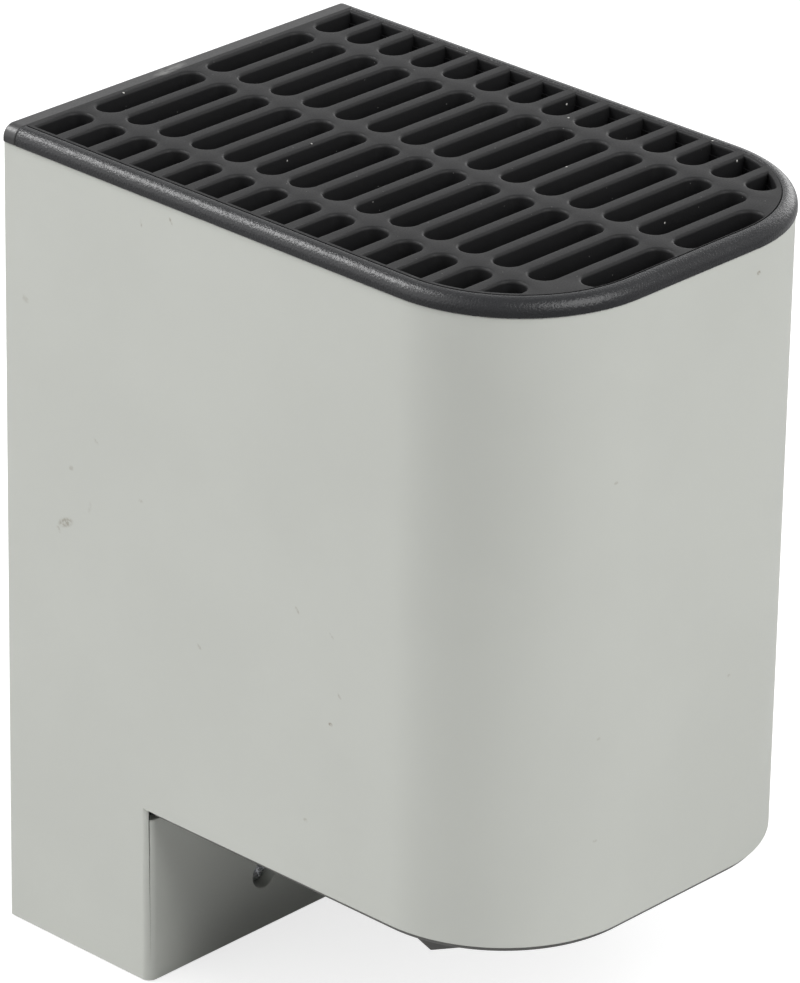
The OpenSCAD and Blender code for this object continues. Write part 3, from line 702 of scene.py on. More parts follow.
class NodeTree:
    """A Geometry Nodes tree with named inputs, which ends in realized geometry and its material."""

    def __init__(self, name: str) -> None:
        """Starts a tree with a geometry input and output.

        Args:
            name: Name of the tree.
        """
        self.group = bpy.data.node_groups.new(name, "GeometryNodeTree")
        self.group.interface.new_socket("Geometry", in_out="INPUT", socket_type="NodeSocketGeometry")
        self.group.interface.new_socket("Geometry", in_out="OUTPUT", socket_type="NodeSocketGeometry")
        self.entry = self.group.nodes.new("NodeGroupInput")
        self.names: dict[str, str] = {}
        self.finish = self.input("Finish", "NodeSocketMaterial")

    @property
    def geometry(self) -> bpy.types.NodeSocket:
        """Geometry that comes in."""
        return self.entry.outputs["Geometry"]

    def input(self, name: str, kind: str = "NodeSocketFloat") -> bpy.types.NodeSocket:
        """Adds a named input.

        Args:
            name: Name of the input.
            kind: Blender's name of the socket type.

        Returns:
            The socket that gives its value.
        """
        socket = self.group.interface.new_socket(name, in_out="INPUT", socket_type=kind)
        self.names[name] = socket.identifier
        return self.entry.outputs[name]

    def add(self, kind: str, inputs: dict[Any, Any] | None = None, **settings: Any) -> bpy.types.Node:
        """Adds a node.

        Args:
            kind: Blender's name of the node.
            inputs: Values or sockets by the name or number of the input.
            **settings: Properties of the node.

        Returns:
            The node.
        """
        node = self.group.nodes.new(kind)
        for key, value in settings.items():
            setattr(node, key, value)
        for key, value in (inputs or {}).items():
            if isinstance(value, bpy.types.NodeSocket):
                self.group.links.new(value, node.inputs[key])
            else:
                node.inputs[key].default_value = value
        return node

    def make(self, kind: str, inputs: dict[Any, Any] | None = None, **settings: Any) -> bpy.types.NodeSocket:
        """Adds a Geometry Nodes node, named without its prefix, and gives its first output."""
        return self.add(f"GeometryNode{kind}", inputs, **settings).outputs[0]

    def vector(self, operation: str, first: Any, second: Any) -> bpy.types.NodeSocket:
        """Adds a vector math node and gives its result."""
        key = "Scale" if operation == "SCALE" else 1
        return self.add("ShaderNodeVectorMath", {0: first, key: second}, operation=operation).outputs[0]

    def math(self, operation: str, first: Any, second: Any) -> bpy.types.NodeSocket:
        """Adds a math node and gives its result."""
        return self.add("ShaderNodeMath", {0: first, 1: second}, operation=operation).outputs[0]

    def up(self, height: Any) -> bpy.types.NodeSocket:
        """Gives a vector of a height along z."""
        return self.add("ShaderNodeCombineXYZ", {"Z": height}).outputs[0]

    def join(self, parts: Iterable[bpy.types.NodeSocket]) -> bpy.types.NodeSocket:
        """Joins several geometries.

        Args:
            parts: Sockets of the geometries.

        Returns:
            The joined geometry's socket.
        """
        node = self.add("GeometryNodeJoinGeometry")
        for part in parts:
            self.group.links.new(part, node.inputs[0])
        return node.outputs[0]

    def end(self, geometry: bpy.types.NodeSocket) -> None:
        """Realizes the geometry, gives it the finish and closes the tree.

        Args:
            geometry: Socket of the finished geometry.
        """
        real = self.make("RealizeInstances", {0: geometry})
        dressed = self.make("SetMaterial", {"Geometry": real, "Material": self.finish})
        self.group.links.new(dressed, self.group.nodes.new("NodeGroupOutput").inputs[0])

    def run(self, host: bpy.types.Object, values: dict[str, Any]) -> None:
        """Turns a host into the tree's plain mesh.

        Args:
            host: Object whose mesh the tree takes in.
            values: Values of the named inputs.
        """
        change = host.modifiers.new(self.group.name, "NODES")
        change.node_group = self.group
        for name, value in values.items():
            change[self.names[name]] = value
        freeze(host)


def slotted_plate_tree(levels: int = 4) -> NodeTree:
    """Makes the tree that turns slot outlines into a plate with rounded slots.

    Args:
        levels: Segments of the rounding at a slot's upper edge.

    Returns:
        The tree. Its host has one face for each slot and a wire loop for the plate's edge.
    """
    tree = NodeTree("slotted_plate")
    edge, depth = tree.input("Edge Radius"), tree.input("Thickness")
    inward = tree.make("InputNamedAttribute", {"Name": "inward"}, data_type="FLOAT_VECTOR")
    lip = tree.make("InputNamedAttribute", {"Name": "lip"}, data_type="FLOAT")
    outline = tree.make("MeshToCurve", {"Mesh": tree.geometry})
    top = tree.make("FillCurve", {"Curve": outline}, mode="TRIANGLES")
    low_host = tree.make("SetPosition", {"Geometry": tree.geometry, "Offset": inward})
    low_line = tree.make("MeshToCurve", {"Mesh": low_host})
    low_fill = tree.make("FillCurve", {"Curve": low_line}, mode="TRIANGLES")
    drop = tree.up(tree.math("MULTIPLY", depth, -1.0))
    low_face = tree.make("Transform", {"Geometry": low_fill, "Translation": drop})
    under = tree.make("FlipFaces", {"Mesh": low_face})
    wall = tree.geometry
    floor: Any = True
    before = 0.0
    for level in range(1, levels + 2):
        step = tree.add("GeometryNodeExtrudeMesh", {
            "Mesh": wall, "Selection": floor, "Offset Scale": 0.0, "Individual": False}, mode="FACES")
        floor = step.outputs["Top"]
        if level <= levels:
            after = math.pi / 2 * level / levels
            side = tree.vector("SCALE", inward, math.sin(after) - math.sin(before))
            fall = tree.up(tree.math("MULTIPLY", edge, math.cos(after) - math.cos(before)))
            before = after
        else:
            side = (0.0, 0.0, 0.0)
            fall = tree.up(tree.math("SUBTRACT", edge, depth))
        shift = tree.vector("ADD", side, fall)
        wall = tree.make("SetPosition", {
            "Geometry": step.outputs["Mesh"], "Selection": floor, "Offset": shift})
    open_wall = tree.add("GeometryNodeDeleteGeometry", {0: wall, "Selection": floor}, domain="FACE")
    rim_edge = tree.add("GeometryNodeExtrudeMesh", {
        "Mesh": tree.geometry, "Selection": tree.math("GREATER_THAN", lip, 0.5), "Offset": drop,
        "Offset Scale": 1.0}, mode="EDGES")
    side_only = tree.make("SeparateGeometry", {
        "Geometry": rim_edge.outputs["Mesh"], "Selection": rim_edge.outputs["Side"]}, domain="FACE")
    both = tree.join([top, under, open_wall.outputs[0], side_only])
    welded = tree.make("MergeByDistance", {"Geometry": both, "Distance": WELD_DISTANCE})
    tree.end(welded)
    return tree


def swept_tree() -> NodeTree:
    """Makes the tree that sweeps a flat section along a path of edges.

    Returns:
        The tree. Its host is the path.
    """
    tree = NodeTree("swept_section")
    section = tree.input("Section", "NodeSocketObject")
    shape = tree.add("GeometryNodeObjectInfo", {"Object": section}).outputs["Geometry"]
    ring = tree.make("MeshToCurve", {"Mesh": shape})
    line = tree.make("MeshToCurve", {"Mesh": tree.geometry})
    level = tree.make("SetCurveNormal", {"Curve": line}, mode="Z_UP")
    body = tree.make("CurveToMesh", {"Curve": level, "Profile Curve": ring, "Fill Caps": True})
    tree.end(body)
    return tree


def finger_guard_tree() -> NodeTree:
    """Makes the tree of concentric rings and bars about the origin.

    Returns:
        The tree.
    """
    tree = NodeTree("finger_guard")
    rings, bars = tree.input("Rings", "NodeSocketInt"), tree.input("Bars", "NodeSocketInt")
    first, pitch, reach = tree.input("First Radius"), tree.input("Pitch"), tree.input("Reach")
    ring_w, bar_w, depth = tree.input("Ring Width"), tree.input("Bar Width"), tree.input("Thickness")
    index = tree.make("InputIndex")

    def spots(count: bpy.types.NodeSocket) -> bpy.types.NodeSocket:
        """Gives a number of points at the origin."""
        return tree.make("MeshLine", {"Count": count, "Offset": (0.0, 0.0, 0.0)})

    def end_point(x: Any) -> bpy.types.NodeSocket:
        """Gives a point on the x axis."""
        return tree.add("ShaderNodeCombineXYZ", {"X": x}).outputs[0]

    def sweep(line: bpy.types.NodeSocket, width: Any, height: Any, caps: bool) -> bpy.types.NodeSocket:
        """Runs a rectangle with rounded corners along a line.

        Args:
            line: Curve to follow.
            width: Width of the rectangle.
            height: Height of the rectangle.
            caps: Whether the ends are closed.

        Returns:
            The mesh's socket.
        """
        section = tree.make("CurvePrimitiveQuadrilateral", {"Width": width, "Height": height})
        rounded = tree.make("FilletCurve", {"Curve": section, "Radius": 0.4, "Count": 3}, mode="POLY")
        flat = tree.make("SetCurveNormal", {"Curve": line}, mode="Z_UP")
        return tree.make("CurveToMesh", {"Curve": flat, "Profile Curve": rounded, "Fill Caps": caps})

    radius = tree.math("ADD", first, tree.math("MULTIPLY", pitch, index))
    scale = tree.add("ShaderNodeCombineXYZ", {"X": radius, "Y": radius, "Z": 1.0}).outputs[0]
    unit = tree.make("CurvePrimitiveCircle", {"Resolution": 96, "Radius": 1.0})
    circles = tree.make("InstanceOnPoints", {"Points": spots(rings), "Instance": unit, "Scale": scale})
    lines = tree.make("RealizeInstances", {0: circles})
    round_rings = sweep(lines, ring_w, tree.math("SUBTRACT", depth, 2 * GUARD_STEP), False)
    line = tree.make("CurvePrimitiveLine", {
        "Start": end_point(tree.math("MULTIPLY", reach, -1.0)), "End": end_point(reach)})
    turn = tree.math("MULTIPLY", index, tree.math("DIVIDE", math.pi, bars))
    round_bars = tree.make("InstanceOnPoints", {
        "Points": spots(bars), "Instance": sweep(line, bar_w, depth, True), "Rotation": tree.up(turn)})
    tree.end(tree.join([round_rings, round_bars]))
    return tree


def repeat_tree() -> NodeTree:
    """Makes the tree that puts a copy of one form on each point of the host.

    Returns:
        The tree.
    """
    tree = NodeTree("repeated_form")
    form = tree.input("Form", "NodeSocketObject")
    turn = tree.input("Turn", "NodeSocketVector")
    spin = tree.input("Spin")
    shape = tree.add("GeometryNodeObjectInfo", {"Object": form}).outputs["Geometry"]
    index = tree.make("InputIndex")
    angle = tree.vector("ADD", turn, tree.up(tree.math("MULTIPLY", index, spin)))
    copies = tree.make("InstanceOnPoints", {
        "Points": tree.geometry, "Instance": shape, "Rotation": angle})
    tree.end(copies)
    return tree


def points_object(name: str, points: Iterable[Point3]) -> bpy.types.Object:
    """Makes an object of loose points.

    Args:
        name: Name of the object.
        points: Places of the points.

    Returns:
        The object.
    """
    mesh = bmesh.new()
    for point in points:
        mesh.verts.new(point)
    return to_object(mesh, name)


def line_object(name: str, points: Sequence[Point3], closed: bool) -> bpy.types.Object:
    """Makes an object of a chain of edges.

    Args:
        name: Name of the object.
        points: Points of the chain.
        closed: Whether it runs back to its first point.

    Returns:
        The object.
    """
    mesh = bmesh.new()
    dots = [mesh.verts.new(point) for point in points]
    for a, b in zip(dots, dots[1:] + dots[:1] if closed else dots[1:]):
        mesh.edges.new((a, b))
    return to_object(mesh, name)


def screw_form(head_r: float, head_h: float, shank_r: float, shank_l: float) -> bpy.types.Object:
    """Makes a pan head screw with a cross recess, its shank along +z and its seat at z = 0.

    Args:
        head_r: Radius of the head.
        head_h: Height of the head.
        shank_r: Radius of the shank.
        shank_l: Length of the shank.

    Returns:
        The screw as a helper object.
    """
    dome = [(head_r * math.cos(a), -head_h + 0.7 * head_h * (1 - math.sin(a)))
            for a in (math.radians(10 * i) for i in range(9, -1, -1))]
    dome[0] = (0.0, -head_h)
    shank = [(head_r, 0.0), (shank_r, 0.0), (shank_r, shank_l), (0.0, shank_l)]
    item = to_object(lathe([*dome, *shank], 40), "screw")
    reach, half_w = 0.55 * head_r, 0.14 * head_r
    for turn in (0.0, math.pi / 2):
        blade = box((-reach, -half_w, -2 * head_h), (reach, half_w, -0.5 * head_h))
        combine(item, moved(blade, Matrix.Rotation(turn, 4, "Z")), "DIFFERENCE")
    soften(item, 0.06, 1)
    return item


def set_screws(name: str, node: str, spots: Iterable[Point3], turn: float, shank_l: float,
               finish: bpy.types.Material) -> None:
    """Sets alike screws at several places.

    Args:
        name: Name of the piece.
        node: CAD node that it stands for.
        spots: Seats of the screws' heads.
        turn: Turn about x that points a shank into its hole.
        shank_l: Length of the shanks.
        finish: Finish of the screws.
    """
    form = screw_form(SCREW_HEAD_R, SCREW_HEAD_H, SCREW_R, shank_l)
    screws = points_object(name, spots)
    repeat_tree().run(screws, {"Form": form, "Turn": (turn, 0.0, 0.0), "Spin": 0.0, "Finish": finish})
    remove(form)
    smooth(screws)
    settle(screws, finish, Body.HOUSING, "screw_steel", node)


# Sub-assemblies


@dataclass
class Casing:
    """One moulded shell: the round-cornered walls over the foot's three walls."""

    plan: Plan
    height: float = 148.5
    wall: float = 2.0
    foot_d: float = 35.0
    foot_h: float = 34.0
    foot_edge_r: float = 1.8
    foot_gap: float = 2.2
    gap_end: float = 0.6
    screw_span: float = 26.0
    screw_z: float = 11.0
    recess_r: float = 2.8
    recess_depth: float = 3.0
    recess_floor: float = 1.6
    recess_wall: float = 1.2
    edge: float = 0.22
    boss_x: float = 36.7
    boss_y: tuple[float, ...] = (-20.0, -90.0)
    boss_top: float = 76.0
    boss_h: float = 10.0
    boss_r: float = 3.2

    def foot_plan(self) -> list[Point2]:
        """Gives the foot's outline with its two rounded front edges.

        Returns:
            The outline's points.
        """
        half, r = self.plan.half, self.foot_edge_r
        turns = [math.pi * (1 + 0.5 * i / 10) for i in range(11)]
        left = [(r - half + r * math.cos(a), r - self.foot_d + r * math.sin(a)) for a in turns]
        return [(-half, 0.0), *left, *[(-x, y) for x, y in reversed(left)], (half, 0.0)]

    def build(self) -> bpy.types.Object:
        """Joins the walls, the foot and the inner bosses, and cuts the screw recesses.

        Returns:
            The shell in the drawing's millimetres.
        """
        inner = self.plan.half - self.wall
        walls = self.plan.path(0) + self.plan.path(self.wall)[::-1]
        item = to_object(prism([walls], self.foot_h, self.height), "casing_shell")
        foot = self.foot_plan() + [(inner, 0.0), (inner, self.wall - self.foot_d),
                                   (-inner, self.wall - self.foot_d), (-inner, 0.0)]
        combine(item, prism([foot], 0.0, self.foot_h), "UNION")
        front, reach = -self.foot_d, self.plan.half - self.gap_end
        gap = box((-reach, front - 1, self.foot_h - self.foot_gap), (reach, front + self.wall, self.foot_h))
        combine(item, gap, "DIFFERENCE")
        forward = Matrix.Rotation(math.pi / 2, 4, "X")
        seat = self.foot_d - self.recess_depth
        for side in (-1, 1):
            place = Matrix.Translation((side * self.screw_span / 2, 0, self.screw_z)) @ forward
            ring = circle(self.recess_r + self.recess_wall)
            boss = prism([ring], seat - self.recess_floor, self.foot_d - self.wall / 2)
            combine(item, moved(boss, place), "UNION")
            hole = prism([circle(self.recess_r, 40)], seat, self.foot_d + 1)
            combine(item, moved(hole, place), "DIFFERENCE")
        for side in (-1, 1):
            for y in self.boss_y:
                ring = circle(self.boss_r, 24, (side * self.boss_x, y))
                combine(item, prism([ring], self.boss_top - self.boss_h, self.boss_top), "UNION")
        return item

    def dress(self) -> None:
        """Softens the shell's edges and gives it the used casing plastic."""
        item = self.build()
        soften(item, self.edge, 2)
        finish = UsedCasingPlastic(
            "casing_plastic", srgb(201, 203, 197), roughness=0.52, grain_mm=0.45, grain_depth=0.006,
            mottle=0.012, mottle_mm=30, specular=0.22,
            half_w=self.plan.half, front_y=-self.plan.depth, marks=CASING_MARKS)
        settle(item, finish.material(), Body.HOUSING, "casing_plastic", "casing")


CASING_MARKS = (
    Mark(Wall.LEFT, -40, 146, 0.9, 0.35, 60, 0.55),
    Mark(Wall.LEFT, -33, 143.5, 0.9, 0.3, 80, 0.5),
    Mark(Wall.LEFT, -5, 121, 1.2, 0.8, 20, 0.22),
    Mark(Wall.LEFT, -22, 100, 1.0, 0.5, 30, 0.25),
    Mark(Wall.LEFT, -16, 93, 0.9, 0.6, -20, 0.3),
    Mark(Wall.LEFT, -14.5, 82.2, 2.4, 1.1, -25, 0.62),
    Mark(Wall.LEFT, -12.8, 80.4, 1.0, 0.5, 60, 0.3),
    Mark(Wall.LEFT, -20.5, 87.0, 0.5, 1.6, 10, 0.12),
    Mark(Wall.LEFT, -33, 92.5, 0.8, 0.5, 0, 0.25),
    Mark(Wall.LEFT, -47, 70, 0.8, 0.4, 40, 0.35),
    Mark(Wall.LEFT, -70, 85, 1.0, 0.35, 50, 0.4),
    Mark(Wall.LEFT, -78, 83, 0.9, 0.3, 45, 0.35),
    Mark(Wall.LEFT, -80, 72.5, 0.8, 0.35, 50, 0.4),
    Mark(Wall.LEFT, -78, 66.6, 0.6, 0.45, 0, 0.9),
    Mark(Wall.LEFT, -72.5, 46.5, 0.7, 0.5, 0, 0.35),
    Mark(Wall.FRONT, 15.4, 144, 0.6, 0.5, 0, 0.8),
    Mark(Wall.FRONT, -18, 117, 0.6, 0.4, 0, 0.3),
    Mark(Wall.FRONT, -20, 71, 0.6, 0.4, 0, 0.25),
    Mark(Wall.FRONT, -20, 52, 0.6, 0.4, 0, 0.25),
    Mark(Wall.FRONT, 12, 71.5, 0.6, 0.4, 0, 0.25),
)


@dataclass
class OutletGrille:
    """Black outlet on top: a bullnose rim round a plate with rows of slots."""

    plan: Plan
    base_z: float = 148.5
    rear: float = 3.12
    rim_h: float = 3.0
    rim_w: float = 2.5
    rim_r: float = 2.3
    rim_over: float = 0.3
    groove: float = 0.45
    plate_t: float = 2.2
    rib_h: float = 4.0
    slot_w: float = 5.0
    slot_l: float = 24.0
    front_slot_l: float = 19.8
    slot_rib: float = 2.65
    slot_edge: float = 0.6
    cut_edge: float = 0.3
    slot_margin: float = 4.2
    slot_inset: float = 3.3
    front_lip: float = 0.06
    border_reach: float = 0.05
    plate_overlap: float = 0.01
    rows: int = 15
    skirt_h: float = 6.0
    skirt_t: float = 1.5
    fit: float = 0.15
    wall: float = 2.0

    def rim_section(self) -> list[Point2]:
        """Gives the rim's section, x inwards from the casing's face and y up from its top edge.

        Returns:
            The section's points.
        """
        r, x = self.rim_r, self.rim_r - self.rim_over
        turns = [math.pi * (1 - 0.5 * i / 12) for i in range(13)]
        nose = [(x + r * math.cos(a), self.rim_h - r + r * math.sin(a)) for a in turns]
        return [(0.15 - self.rim_over, 0.0), (-self.rim_over, 0.15), *nose]

    def bead_section(self) -> list[Point2]:
        """Gives the rim's whole section, with a small round valley where it meets the plate.

        Returns:
            The section's points.
        """
        g = self.groove
        turns = [math.pi * 0.5 * (1 - i / 6) for i in range(7)]
        inner = [(self.rim_w - g + g * math.cos(a), self.rim_h - g + g * math.sin(a)) for a in turns]
        return [*self.rim_section(), *inner, (self.rim_w, 0.0)]

    def build_rim(self) -> bpy.types.Object:
        """Sweeps the rim's section round the sides and the front.

        Returns:
            The rim in the drawing's millimetres.
        """
        path = [(x, y, self.base_z) for x, y in self.plan.path(0, self.rear)]
        item = line_object("grille_rim", path, False)
        section = line_object("section", [(-x, -y, 0.0) for x, y in self.bead_section()], True)
        swept_tree().run(item, {"Section": section})
        remove(section)
        smooth(item)
        return item

    def stadium(self, start: float, end: float, y: float) -> list[Point2]:
        """Gives a slot's opening with round ends, anticlockwise, at the plate's upper face.

        Args:
            start: Left end of the slot.
            end: Right end of the slot.
            y: Middle line of the slot.

        Returns:
            The opening's points.
        """
        r = self.slot_w / 2 + self.slot_edge
        left, right = start + self.slot_w / 2, end - self.slot_w / 2
        turns = [math.pi * (i / 12 - 0.5) for i in range(13)]
        nose = [(right + r * math.cos(a), y + r * math.sin(a)) for a in turns]
        return nose + [(left - r * math.cos(a), y - r * math.sin(a)) for a in turns]

    def borders(self) -> list[list[Point2]]:
        """Gives the lines at which the rim cuts off the side slots and the front slots."""
        insets = (self.slot_inset - self.cut_edge, self.rim_w + self.front_lip)
        return [self.plan.path(inset, self.rear) for inset in insets]

    def slots(self) -> list[list[Point2]]:
        """Lays out every slot of the grille by its row.

        Returns:
            The slots' openings at the plate's upper face.
        """
        found = []
        side_border, front_border = self.borders()
        pitch = self.slot_w + self.slot_rib
        for row in range(self.rows):
            y = -self.slot_margin - self.slot_w / 2 - row * pitch
            half_rib = self.slot_rib / 2
            last = row == self.rows - 1
            length = self.front_slot_l if last else self.slot_l
            openings = [clip(self.stadium(half_rib, half_rib + length, y), front_border)]
            if not last:
                side = self.stadium(half_rib + self.slot_l + self.slot_rib, self.plan.width, y)
                openings.append(clip(side, side_border))
            for opening in map(self.settled, openings):
                found.append(opening)
                found.append([(-px, py) for px, py in reversed(opening)])
        return found

    def inward(self, loop: Sequence[Point2]) -> list[Vector]:
        """Works out how each point of an opening moves down to the slot's wall.

        Args:
            loop: Opening at the plate's upper face.

        Returns:
            The moves, with a shorter step at an end cut off by the rim.
        """
        borders = self.borders()
        count = len(loop)
        sides = []
        for i in range(count):
            a, b = Vector(loop[i]), Vector(loop[(i + 1) % count])
            across = Vector((a.y - b.y, b.x - a.x)).normalized()
            cut = min(distance_to(border, (a + b) / 2) for border in borders) < self.border_reach
            sides.append((across, self.cut_edge if cut else self.slot_edge))
        moves = []
        for i in range(count):
            (n, p), (m, q) = sides[i - 1], sides[i]
            cross = n.x * m.y - n.y * m.x
            if abs(cross) < 1e-4:
                moves.append(n * p)
            else:
                moves.append(Vector(((p * m.y - q * n.y) / cross, (q * n.x - p * m.x) / cross)))
        return moves

    def settled(self, loop: Sequence[Point2]) -> list[Point2]:
        """Drops the points of short sides that would turn over on the way down.

        Args:
            loop: Opening at the plate's upper face.

        Returns:
            The opening, with its corners kept.
        """
        points = list(loop)
        while True:
            count = len(points)
            spots = [Vector(p) for p in points]
            ends = [spot + move for spot, move in zip(spots, self.inward(points))]
            turns = [(spots[i] - spots[i - 1]).angle(spots[(i + 1) % count] - spots[i]) for i in range(count)]
            pairs = [(i, (i + 1) % count) for i in range(count)]
            over = [(i, k) for i, k in pairs if (ends[k] - ends[i]).dot(spots[k] - spots[i]) <= 0]
            if not over:
                return points
            points.pop(min(over[0], key=turns.__getitem__))

    def build_plate(self, finish: bpy.types.Material) -> bpy.types.Object:
        """Makes the slotted plate from the rows of openings.

        Args:
            finish: Material of the plate.

        Returns:
            The plate in the drawing's millimetres.
        """
        mesh = bmesh.new()
        move_layer = mesh.verts.layers.float_vector.new("inward")
        lip_layer = mesh.edges.layers.float.new("lip")
        top = self.base_z + self.rim_h
        for loop in self.slots():
            ring = [mesh.verts.new((x, y, 0.0)) for x, y in loop]
            for dot, move in zip(ring, self.inward(loop)):
                dot[move_layer] = (move.x, move.y, 0.0)
            mesh.faces.new(ring)
        border = self.plan.path(self.rim_w - self.plate_overlap, self.rear)
        edge = [mesh.verts.new((x, y, 0.0)) for x, y in border]
        for a, b in zip(edge, edge[1:] + edge[:1]):
            mesh.edges.new((a, b))[lip_layer] = 1.0
        item = to_object(mesh, "grille_plate")
        slotted_plate_tree().run(item, {
            "Edge Radius": self.slot_edge, "Thickness": self.plate_t + self.rib_h, "Finish": finish})
        item.data.transform(Matrix.Translation((0, 0, top)))
        smooth(item, 40)
        return item

    def build_skirt(self) -> bpy.types.Object:
        """Makes the thin wall that stands inside the casing.

        Returns:
            The wall in the drawing's millimetres.
        """
        outer = self.wall + self.fit
        loop = self.plan.path(outer, self.rear) + self.plan.path(outer + self.skirt_t, self.rear)[::-1]
        low, high = self.base_z - self.skirt_h, self.base_z + self.rim_h - self.plate_t
        item = to_object(prism([loop], low, high), "grille_skirt")
        smooth(item)
        return item

    def dress(self) -> None:
        """Gives the rim its coarse grain and the plate its smoother, dusty finish."""
        rim = MouldedPlastic(
            "grille_rim_plastic", srgb(20, 21, 24), roughness=0.28, grain_mm=0.36, grain_depth=0.08,
            mottle=0.1, specular=0.36).material()
        plate = MouldedPlastic(
            "grille_plate_plastic", srgb(19, 19, 20), roughness=0.54, grain_mm=0.3, grain_depth=0.02,
            mottle=0.12, mottle_mm=12, specular=0.24, dust=0.25).material()
        settle(self.build_rim(), rim, Body.HOUSING, "black_plastic", "top_grille")
        settle(self.build_plate(plate), plate, Body.HOUSING, "black_plastic", "top_grille")
        settle(self.build_skirt(), plate, Body.HOUSING, "black_plastic", "top_grille")


def clip(loop: Sequence[Point2], border: Sequence[Point2]) -> list[Point2]:
    """Cuts a convex loop off at a convex border.

    Args:
        loop: Loop to cut, anticlockwise.
        border: Border, anticlockwise.

    Returns:
        The part of the loop inside the border.
    """
    kept = [Vector(p) for p in loop]
    for i in range(len(border)):
        a, b = Vector(border[i]), Vector(border[(i + 1) % len(border)])
        along = b - a
        depth = [along.x * (p.y - a.y) - along.y * (p.x - a.x) for p in kept]
        cut = []
        for k, point in enumerate(kept):
            before = kept[k - 1]
            if (depth[k] >= 0) != (depth[k - 1] >= 0):
                cut.append(before.lerp(point, depth[k - 1] / (depth[k - 1] - depth[k])))
            if depth[k] >= 0:
                cut.append(point)
        kept = cut
    tidy = [p for k, p in enumerate(kept) if (p - kept[k - 1]).length > JOIN_DISTANCE]
    return [(p.x, p.y) for p in tidy]


def distance_to(path: Sequence[Point2], point: Vector) -> float:
    """Gives the distance of a point from a path.

    Args:
        path: Points of the path.
        point: Point to measure.

    Returns:
        The distance.
    """
    best = math.inf
    for start, end in zip(path, path[1:]):
        a, b = Vector(start), Vector(end)
        along = b - a
        share = min(1.0, max(0.0, (point - a).dot(along) / along.length_squared))
        best = min(best, (a + along * share - point).length)
    return best


@dataclass
class RearCover:
    """Black back cover with the grille's rear edge on top and the foot's floor below."""

    plan: Plan
    grille: OutletGrille
    height: float = 148.5
    panel_t: float = 3.0
    panel_w: float = 78.7
    floor_t: float = 2.4
    foot_inner: float = 32.85
    inlet_r: float = 5.15
    inlet_y: float = -17.5
    edge: float = 0.35

    def build(self) -> bpy.types.Object:
        """Joins the panel, its crown and the floor, and opens the cable inlet.

        Returns:
            The cover in the drawing's millimetres.
        """
        half = self.panel_w / 2
        item = to_object(box((-half, -self.panel_t, 0.0), (half, 0.0, self.height + 0.5)), "rear_cover")
        nose = [(x - self.plan.half, y) for x, y in self.grille.rim_section()]
        crown = nose + [(-x, y) for x, y in reversed(nose)]
        turn = Matrix.Translation((0, 0, self.height)) @ Matrix.Rotation(math.pi / 2, 4, "X")
        combine(item, moved(prism([crown[::-1]], 0.0, self.panel_t), turn), "UNION")
        combine(item, box((-half, -self.foot_inner, 0.0), (half, -0.5, self.floor_t)), "UNION")
        inlet = circle(self.inlet_r, 48, (0.0, self.inlet_y))
        combine(item, prism([inlet], -1.0, self.floor_t + 1), "DIFFERENCE")
        return item

    def dress(self) -> None:
        """Softens the edges and gives the cover its rubbed dark plastic."""
        item = self.build()
        soften(item, self.edge, 3, 50)
        finish = RubbedPlastic(
            "cover_plastic", srgb(30, 30, 31), roughness=0.36, grain_mm=0.4, grain_depth=0.01,
            mottle=0.1, specular=0.5)
        settle(item, finish.material(), Body.HOUSING, "black_plastic", "rear_panel")


